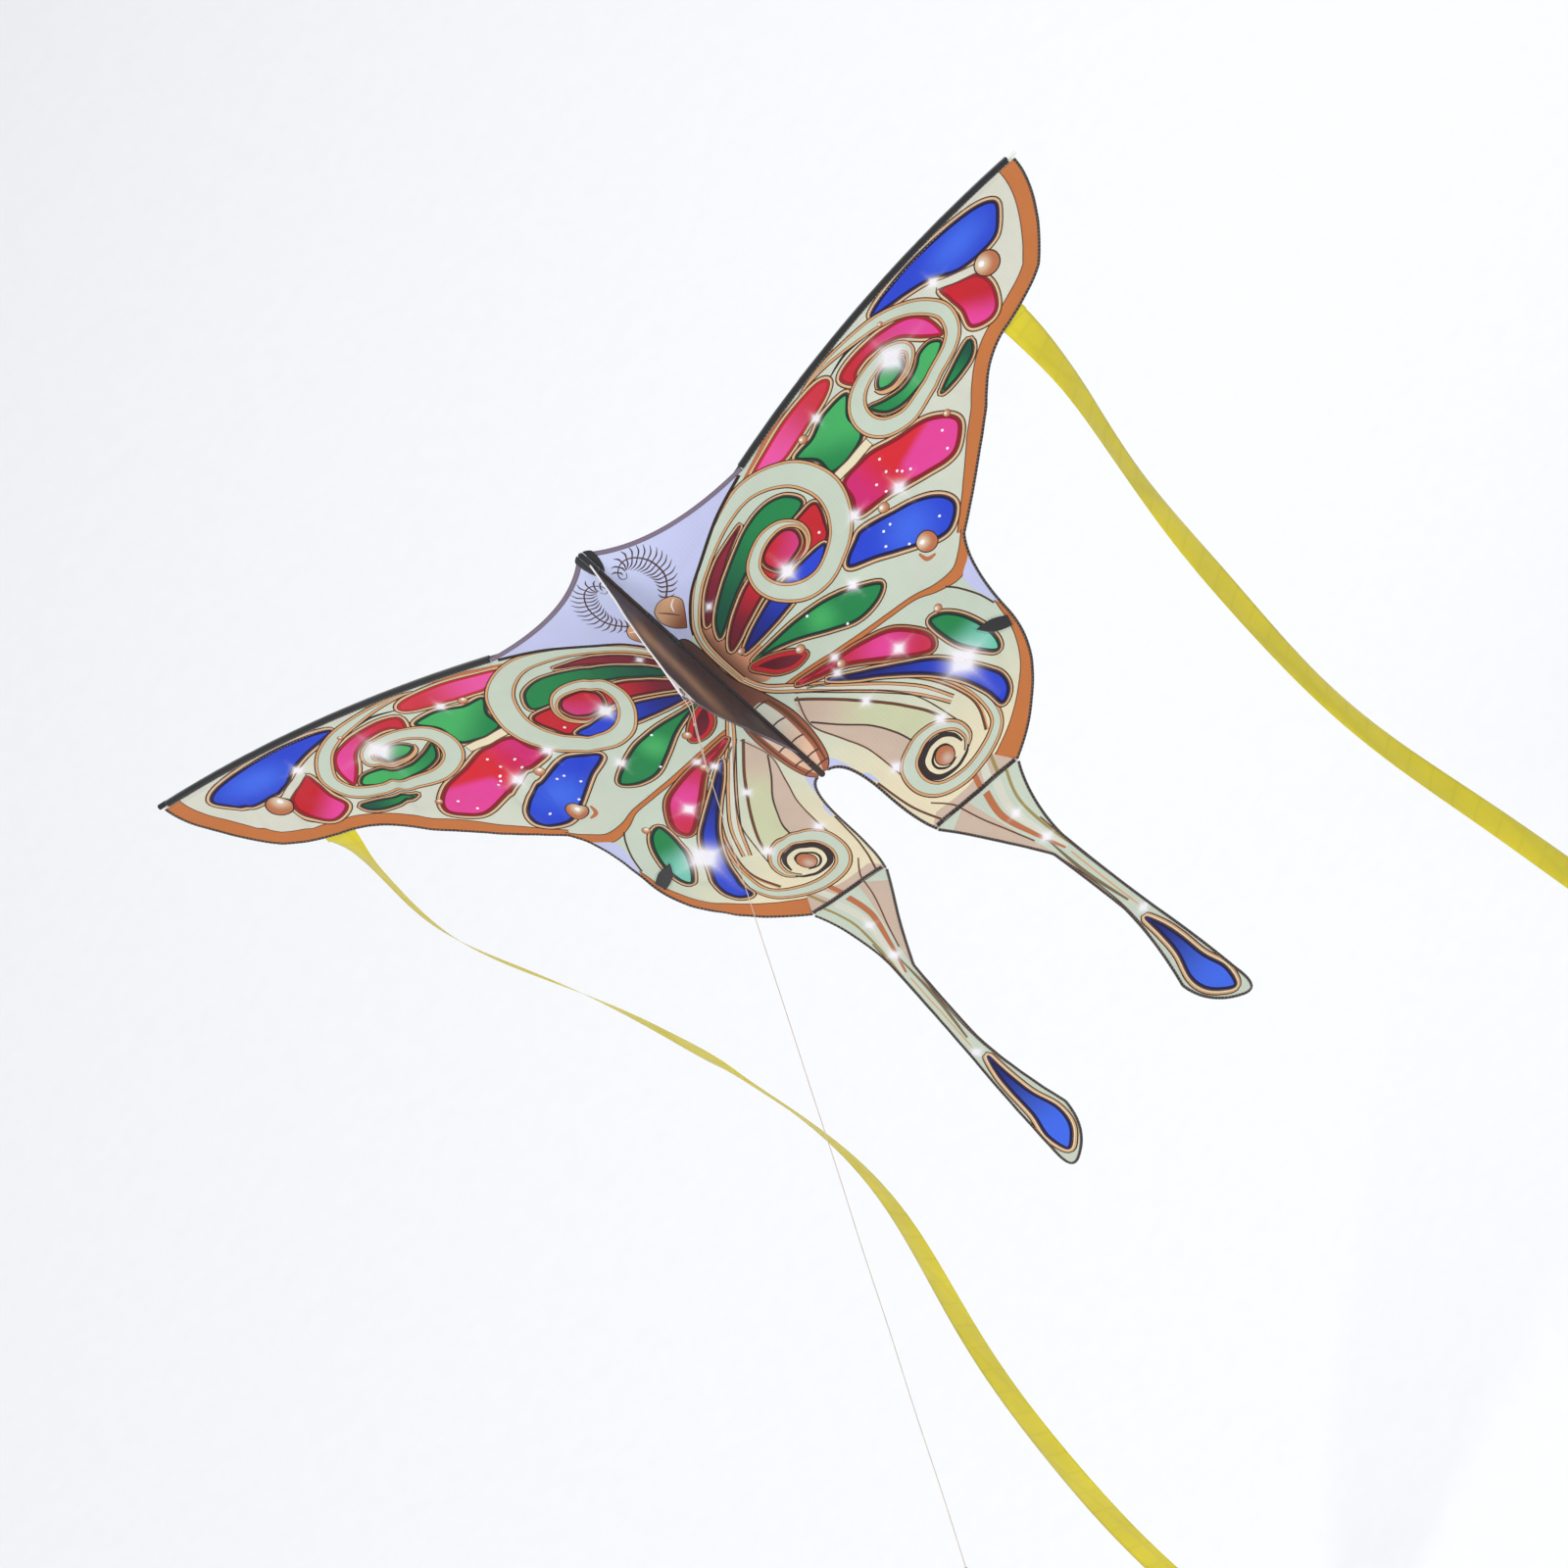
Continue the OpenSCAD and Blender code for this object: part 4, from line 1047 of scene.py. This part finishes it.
def corner_pocket(name, side):
    """Cloth tunnel behind the hind corner, pressed flat where it is sewn shut past the strut's end."""
    rings = []
    for s in np.linspace(STRUT_LONG - 26, STRUT_LONG, 20):
        flat = STRUT_ROOT + STRUT_RUN * s + STRUT_LEFT * POCKET_SECTION[:, :1]
        pressed = 1 - 0.8 * ease((s - STRUT_LONG + 4.2) / 3.2)
        rings.append(on_wing(side, flat, POCKET_SECTION[:, 1] * pressed + 0.12 * math.sin(s * 1.9)))
    made = add_mesh(f"{name}_corner_pocket", *loft(rings), BLACK_CLOTH)
    return place(made, f"{name}_wing", "dark_cloth", f"{name}_strut_pocket")


def make_sails():
    net, colours, area = printed(SAIL_OUTLINE, SAIL_PRINT, STARS, 4.5)
    for name, side in SIDES.items():
        sail = printed_sheet(net, colours, side, f"{name}_printed_sail", laid(side, sail_depth))
        place(sail, f"{name}_wing", "printed_cloth", f"{name}_sail")
        trim = [*wing_trim(name, side), *rod_sleeve(name, side), corner_pocket(name, side)]


def make_tails():
    net, colours, area = printed(TAIL_OUTLINE, TAIL_PRINT, TAIL_STARS, 4.0)
    edge = along(TAIL_EDGE, 4)
    for name, side in SIDES.items():
        cloth_at = laid(side, tail_depth)
        tail = printed_sheet(net, colours, side, f"{name}_printed_tail", cloth_at)
        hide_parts(f"{name}_swallowtail")
        trim = [tape(f"{name}_tail_tape", cloth_at, edge, HEM_W / 2, HEM_W, TAPE_T, DARK_TAPE)]
        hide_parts(f"{name}_tail_binding")
        for inset in (STITCH_IN, HEM_W - STITCH_IN):
            trim.append(stitches(f"{name}_tail_stitches", cloth_at, edge, inset, STITCH_UP, THREAD))
        for made in (tail, *trim):
            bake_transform(made)


# ---- Ribbons ----

RIBBON_LENGTH, RIBBON_WIDTH = 1800, 40
RIBBON_AT = np.array([579, -247])
RIBBON_ROWS, RIBBON_COLUMNS = 301, 9
TAB_HALF, TAB_W, TAB_T = 21, 15, 0.8
FACING_CAMERA = 18.7  # degrees a ribbon is turned by when its flat side faces the camera
# How far a ribbon swings inwards, how late, how suddenly, and how far out it blows near its top
BOWS = {"right": (86, 0.75, 2.3, 0), "left": (131, 0.87, 3.4, 13)}
# How far a ribbon is turned away from the camera, in degrees, at shares of its length
TURNS = {
    "right": ([0, 0.02, 0.07, 0.16, 0.28, 0.45, 0.7, 1], [0, 18, 40, 52, 40, 50, 36, 46]),
    "left": ([0, 0.03, 0.1, 0.22, 0.33, 0.4, 0.6, 0.8, 1], [-37, -76, -82, -80, -68, -82, -64, -52, -40])}


def make_ribbon(name, side):
    """A thin ribbon that hangs from its tab, swings inwards and slowly turns on the way down."""
    t = np.linspace(-0.005, 1, RIBBON_ROWS)
    bow, late, sharp, blown = BOWS[name]
    swing = bow * np.sin(np.pi * np.clip(t, 0, 1) ** late) ** sharp
    blown = blown * np.exp(-(((t - 0.12) / 0.07) ** 2)) * ease(t * 30)
    centre = np.stack([blown - swing, 0 * t, -RIBBON_LENGTH * t], axis=1)
    centre[:, 0] += 2.5 * np.sin(t * 23 + side) * ease(t * 8)
    centre[:, 1] += 3.0 * np.sin(t * 17 + 2 * side) * ease(t * 8)
    bent = curve(np.stack(TURNS[name], axis=1) * (1000, 1), step=3)
    turn = np.radians(FACING_CAMERA + np.interp(t * 1000, bent[:, 0], bent[:, 1]))
    down = units(np.gradient(centre, axis=0))
    across = np.stack([side * np.cos(turn), np.sin(turn), 0 * t], axis=1)
    across = units(across - (across * down).sum(1)[:, None] * down)
    off = np.cross(down, across)
    u = np.linspace(-0.5, 0.5, RIBBON_COLUMNS)
    bulge = 2.4 * np.sin(t * 31 + side) * ease(t * 10)
    places = (centre[:, None] + RIBBON_WIDTH * u[None, :, None] * across[:, None]
              + (bulge[:, None] * (0.25 - u**2) * 4)[..., None] * off[:, None])
    places[..., 0] *= side
    spot = np.array([RIBBON_AT - (0, 1.5)])
    root = on_wing(side, spot, sail_depth(side, spot) - 2.0)[0]
    verts = places.reshape(-1, 3) * MM + root
    corner = np.arange(RIBBON_ROWS - 1)[:, None] * RIBBON_COLUMNS + np.arange(RIBBON_COLUMNS - 1)
    below = corner + RIBBON_COLUMNS
    faces = np.stack([corner, corner + 1, below + 1, below], axis=-1).reshape(-1, 4)
    made = thicken(add_mesh(f"{name}_yellow_ribbon", verts, faces, YELLOW_CLOTH), RIBBON_T)
    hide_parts(f"{name}_ribbon")
    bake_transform(made)
    cloth_at = laid(side, sail_depth)
    path = along([RIBBON_AT + (TAB_HALF, 6), RIBBON_AT + (-TAB_HALF, 6)], 3)
    tab = tape(f"{name}_ribbon_tab_cloth", lambda p, lift=0.0: cloth_at(p, lift - 1.3), path, -1,
               TAB_W, TAB_T, YELLOW_CLOTH)
    place(tab, f"{name}_wing", "yellow_cloth", f"{name}_ribbon_tab")


# ---- Keel ----

KEEL_TIP, KEEL_FRONT, KEEL_REAR = np.array([131, -169]), np.array([3.9, -20]), np.array([3.9, -437])
KEEL_ROUND, EYELET_HOLE, PATCH_SIDE = 10, 3.9, 30
PIPING_W, PIPING_T, REAR_TAPE_W, REAR_TAPE_T = 2.8, 2.2, 3.2, 1.3


def touching(start, way):
    """Direction from start of the line that just touches the keel's round tip."""
    v = KEEL_TIP - start
    return math.atan2(v[1], v[0]) + way * math.asin(KEEL_ROUND / np.linalg.norm(v))


def keel_tip_arc(radius):
    turn = np.linspace(touching(KEEL_FRONT, 1) + math.pi / 2, touching(KEEL_REAR, -1) - math.pi / 2, 14)
    return KEEL_TIP + radius * np.stack([np.cos(turn), np.sin(turn)], axis=1)


def keel_cloth(p, lift=0.0):
    """Places points on the keel: forwards from the spine, and up from the nose."""
    p = np.asarray(p, float)
    slack = ease(np.linalg.norm(p - KEEL_TIP, axis=1) / 90 - 0.25) * ease((p[:, 0] - 4) / 40)
    belly = 3.0 * np.sin((p[:, 1] + 60) / 95) + 0.9 * ripple(p, 1, 30, 21)
    return np.stack([slack * belly + lift, -p[:, 0], p[:, 1]], axis=1) * MM + NOSE


def keel_shade(p):
    """Dark brown cloth with a lighter band where it catches the light."""
    middle = 62 + 0.10 * (-169 - p[:, 1])
    lit = np.exp(-(((p[:, 0] - middle) / 20) ** 2)) * ease((-75 - p[:, 1]) / 50) * ease((p[:, 1] + 330) / 120)
    lit = 0.85 * lit[:, None]
    return linear((60, 41, 41)) * (1 - lit) + linear((168, 124, 92)) * lit


def make_keel():
    turned = keel_tip_arc(KEEL_ROUND)
    outline = np.concatenate([[KEEL_FRONT], turned, [KEEL_REAR]])
    hole = disc(KEEL_TIP, EYELET_HOLE, None)
    points, faces, top = triangulated(outline, [hole], 4.0)
    faces = faces[top < 0]
    made = add_mesh("keel_cloth_panel", keel_cloth(points), faces, KEEL_CLOTH,
                    colours=keel_shade(points[faces].reshape(-1, 2)))
    place(thicken(made, KEEL_T), "keel", "keel_cloth", "keel_panel")
    front = along(np.concatenate([[KEEL_FRONT], turned[:7]]), 3)
    rear = along(np.concatenate([turned[6:], [KEEL_REAR]]), 3)
    piping = tape("keel_piping_cord", keel_cloth, front, 1.3, PIPING_W, PIPING_T, WHITE_CLOTH)
    rear_tape = tape("keel_rear_tape", keel_cloth, rear, 1.6, REAR_TAPE_W, REAR_TAPE_T, MAUVE_TAPE)
    pieces = [
        (piping, "white_cloth", "keel_piping"),
        (rear_tape, "mauve_tape", "keel_rear_binding"),
        (stitches("keel_piping_stitches", keel_cloth, front, 3.4, 0.25, THREAD), "white_cloth"),
        (stitches("keel_rear_stitches", keel_cloth, rear, 2.6, 0.65, DARK_THREAD), "mauve_tape")]
    round_end = keel_tip_arc(KEEL_ROUND - PIPING_W)
    back = [round_end[i] - PATCH_SIDE * np.array([math.cos(a), math.sin(a)])
            for i, a in ((-1, touching(KEEL_REAR, -1)), (0, touching(KEEL_FRONT, 1)))]
    cut = np.concatenate([round_end, back])
    points, faces, top = triangulated(cut, [hole], 3.0)
    faces = faces[top < 0]
    layers = np.concatenate([keel_cloth(points, 0.5), keel_cloth(points, -0.5)])
    both = np.concatenate([faces, faces[:, ::-1] + len(points)])
    tip_patch = thicken(add_mesh("keel_tip_patch", layers, both, WHITE_CLOTH), KEEL_T)
    around = np.concatenate([cut, cut[:1]])
    pieces += [(tip_patch, "white_cloth", "keel_patch"),
               (stitches("keel_patch_stitches", keel_cloth, around, 1.6, 0.7, THREAD, 4.0), "white_cloth")]
    trim = [place(piece, "keel", slot, *nodes) for piece, slot, *nodes in pieces]


# ---- Spine ----

TUNNEL_R, TUNNEL_BORE, CAP_R, CAP_BORE = 4.05, 2.1, 4.15, 2.2
RING_ROOM = 11.9  # from the middle of a ring on the spine to the tunnel's ends


def turned_cloth(profile, seed):
    """A closed profile of (radius, height from the nose) turned about the spine, wrinkled outside."""
    count, steps = len(profile), 28
    verts, faces = [], []
    for i in range(steps):
        q = 2 * math.pi * i / steps
        here, there = i * count, (i + 1) % steps * count
        for j, (r, z) in enumerate(profile):
            if r > 3:
                r += 0.16 * noise.noise((2 * math.cos(q), 2 * math.sin(q), z / 6 + seed))
            verts.append(NOSE + np.array([r * math.cos(q), r * math.sin(q), z]) * MM)
            k = (j + 1) % count
            faces.append((here + j, there + j, there + k, here + k))
    return verts, faces


def tube_profile(top, bottom):
    heights = np.linspace(bottom, top, max(3, round((top - bottom) / 4)))
    return [(TUNNEL_BORE, bottom), *((TUNNEL_R, z) for z in heights), (TUNNEL_BORE, top)]


def cap_profile(length):
    """A pocket that closes in a dome at height 0, open downwards."""
    dome = np.linspace(0, math.pi / 2 - 0.06, 7)
    return [(CAP_BORE, -length), *((CAP_R, z) for z in np.linspace(-length, -CAP_R, 8)),
            *((CAP_R * math.cos(q), -CAP_R + CAP_R * math.sin(q)) for q in dome[1:]),
            (0.2, -1.4), (CAP_BORE, -1.6)]


def make_spine():
    """The tunnel in three lengths, between the rings of the sockets, and a pocket at each end."""
    rings = (edge_z(0, 4), -190)
    tops = [-36, rings[0] - RING_ROOM, rings[1] - RING_ROOM]
    bottoms = [rings[0] + RING_ROOM, rings[1] + RING_ROOM, -461]
    verts, faces = [], []
    for k, (top, bottom) in enumerate(zip(tops, bottoms)):
        more, quads = turned_cloth(tube_profile(top, bottom), k * 9)
        faces += [tuple(i + len(verts) for i in q) for q in quads]
        verts += more
    place(add_mesh("spine_tunnel", verts, faces, DARK_TAPE), "spine", "dark_cloth", "spine_sleeve")
    upper = cap_profile(36)
    lower = [(r, -491 - z) for r, z in cap_profile(30)]
    place(add_mesh("nose_pocket", *turned_cloth(upper, 40), BLACK_CLOTH), "spine", "dark_cloth", "nose_cap")
    place(add_mesh("spine_end_pocket", *turned_cloth(lower, 60), BROWN_CLOTH), "spine", "brown_cloth",
          "tail_pocket")


# ---- Line ----

LOOP_ROUTE = [(-30, -63, -68), (-22.5, -50, -54), (-14.5, -35.5, -38), (-6.6, -22, -24),
              (-3.2, -13.5, -14.5), (-2.9, -8, -8.6), (-3.1, -3, -3.6), (-2, 0, 0), (2, 0, 0),
              (3.1, -3, -3.6), (3.1, -8, -8.6), (2.4, -13.5, -14.5), (-3.2, -21.5, -23),
              (-12.8, -35.5, -38), (-21, -50, -54), (-28.6, -63, -68)]
LOOP_KNOTS = [(-10, -28.6, -30.9), (-21.3, -49, -52.9)]
LINE_ROUTE = [(-32, -71, -75), (-63, -138, -145), (-95, -207, -217), (-126, -275, -288), (-158, -343, -360),
              (-189, -411, -431), (-221, -480, -502), (-252, -548, -574), (-284, -616, -645),
              (-315, -684, -717), (-346, -750, -786)]
KNOT = np.array([-30, -66, -70])
LINE_RUN = np.array([-0.304229, -0.657874, -0.688878])
LINE_R, LAY_LENGTH, WRAP_R = 0.6, 5.0, 1.45
END_LOOP_AT, END_LOOP_LONG, END_LOOP_WIDE = 17, 11, 8.5  # its middle from the line's end, and its half sizes


# The first colour is painted shade in the grooves between the strands; the second is the cord's own pale
# cream on their crowns.
GROOVE_SHADE, STRAND = (150, 116, 90), (240, 226, 204)


def twisted(name, path):
    """Three-strand line along a path in millimetres; the strands show as lobes, with painted shade in the
    grooves between them.
    """
    path = np.asarray(path, float)
    run = units(np.gradient(path, axis=0))
    u = unit(np.cross(run[0], (0.2, 0.9, -0.4)))
    rings, shade = [], []
    q = np.linspace(0, 2 * np.pi, 9, endpoint=False)
    for centre, d, s in zip(path, run, gone_along(path)):
        u = unit(u - (u @ d) * d)
        v = np.cross(d, u)
        lobe = 0.5 + 0.5 * np.cos(3 * (q + 2 * np.pi * s / LAY_LENGTH))
        size = LINE_R * (0.8 + 0.2 * lobe)[:, None]
        rings.append(centre + size * (np.cos(q)[:, None] * u + np.sin(q)[:, None] * v))
        fleck = 0.5 + 0.5 * math.sin(s / 7)
        # The grooves get painted shade, darker still where the line has its own flecks.
        dark = linear(np.array(GROOVE_SHADE) - fleck * np.array((30, 30, 20)))
        shade.append(dark * (1 - lobe[:, None]) + linear(STRAND) * lobe[:, None])
    verts, faces = loft(rings)
    colour = np.concatenate(shade)
    corners = np.concatenate([colour[list(f)] for f in faces])
    return add_mesh(name, verts * MM, faces, LINE_CORD, colours=corners)


def coils(centre, run, length, turns, radius):
    """Helix about run, for the wraps of a knot, with its ends tucked in."""
    u = unit(np.cross(run, (1, 0, 0)))
    v = np.cross(run, u)
    t = np.linspace(0, 1, turns * 16)
    q = 2 * np.pi * turns * t
    r = radius * ease(np.minimum(t, 1 - t) * 9 + 0.2)
    return (centre + ((t - 0.5) * length)[:, None] * run
            + r[:, None] * (np.cos(q)[:, None] * u + np.sin(q)[:, None] * v))


def line_piece(name, path, *nodes):
    return place(twisted(name, path), "line", "line_cord", *nodes)


def make_line():
    line_path = along(curve(LINE_ROUTE, step=5), 0.8)
    line = line_piece("kite_line", line_path, "flying_line")
    loop_path = curve(LOOP_ROUTE, step=0.7)
    loop = line_piece("tow_loop_line", loop_path, "tow_loop")
    small = [line_piece("tow_loop_knot", coils(np.array(at), LINE_RUN, 3.4, 3, 1.5)) for at in LOOP_KNOTS]
    knot = line_piece("joining_knot", coils(KNOT, LINE_RUN, 7.0, 6, WRAP_R), "line_knot")
    end = np.array(LINE_ROUTE[-1], float)
    u = unit(np.cross(LINE_RUN, (1, 0, 0)))
    q = np.linspace(-0.97 * np.pi, 0.97 * np.pi, 110)[:, None]
    ring = end + LINE_RUN * END_LOOP_AT - END_LOOP_LONG * np.cos(q) * LINE_RUN + END_LOOP_WIDE * np.sin(q) * u
    tail = end + LINE_RUN * 0.6
    wraps = coils(end + LINE_RUN * 3.5, LINE_RUN, 6.2, 5, WRAP_R)
    around = np.concatenate([[tail], ring[1:-1], [tail + 0.5 * u]])
    end_loop = line_piece("end_loop_line", around, "line_end_loop")
    end_knot = line_piece("end_loop_knot", wraps)


# ---- Rigid parts that keep their CAD shape ----


def dress(names, material):
    for name in names:
        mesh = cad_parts[name].data
        mesh.materials.clear()
        mesh.materials.append(material)


for wing_name in SIDES:
    dress([f"{wing_name}_wing_rod", f"{wing_name}_strut"], ROD)
    dress([f"{wing_name}_rod_socket", f"{wing_name}_strut_socket"], BLACK_PLASTIC)
dress(["spine_rod"], ROD)
dress(["spine_clips", "left_tip_cap"], BLACK_PLASTIC)
dress(["right_tip_cap"], WHITE_PLASTIC)
dress(["tow_eyelet"], EYELET_METAL)
make_spine()
make_sails()
make_tails()
for wing_name, wing_side in SIDES.items():
    make_ribbon(wing_name, wing_side)
make_keel()
make_line()


# ---- Stage ----

FLOOR_GAP, FLOOR_HALF = 0.25, 60


def area_light(name, place, aim, size, power, colour=(1, 1, 1)):
    data = bpy.data.lights.new(name, "AREA")
    data.size = size
    data.energy = power
    data.color = colour
    light = bpy.data.objects.new(name, data)
    bpy.context.scene.collection.objects.link(light)
    light.location = place
    light.rotation_mode = "QUATERNION"
    light.rotation_quaternion = (Vector(aim) - Vector(place)).to_track_quat("-Z", "Y")


def make_stage():
    """A plain pale floor under the ribbons, and soft studio light."""
    level = CAD_BOX[0].z - FLOOR_GAP
    corners = [(x * FLOOR_HALF, y * FLOOR_HALF, level) for x, y in ((-1, -1), (1, -1), (1, 1), (-1, 1))]
    floor = add_mesh("floor", corners, [(0, 1, 2, 3)], FLOOR, smooth=False)
    world = bpy.data.worlds.new("studio")
    world.use_nodes = True
    world.node_tree.nodes["Background"].inputs["Color"].default_value = (0.93, 0.96, 1.0, 1)
    world.node_tree.nodes["Background"].inputs["Strength"].default_value = 0.55
    bpy.context.scene.world = world
    bpy.context.scene.view_settings.view_transform = "Standard"
    area_light("key", (-3.5, -6.0, 6.5), (0, 0, -0.2), 4.0, 590, (1, 0.98, 0.95))
    area_light("fill", (5.5, -5.0, 2.0), (0, 0, -0.2), 5.0, 215)
    area_light("back", (1.0, 5.5, 4.5), (0, 0, 0), 4.0, 330)


FLOOR = hard("studio_floor", (226, 227, 229), 0.9, grain=40, depth=0.002 * MM, uneven=0.02)
make_stage()
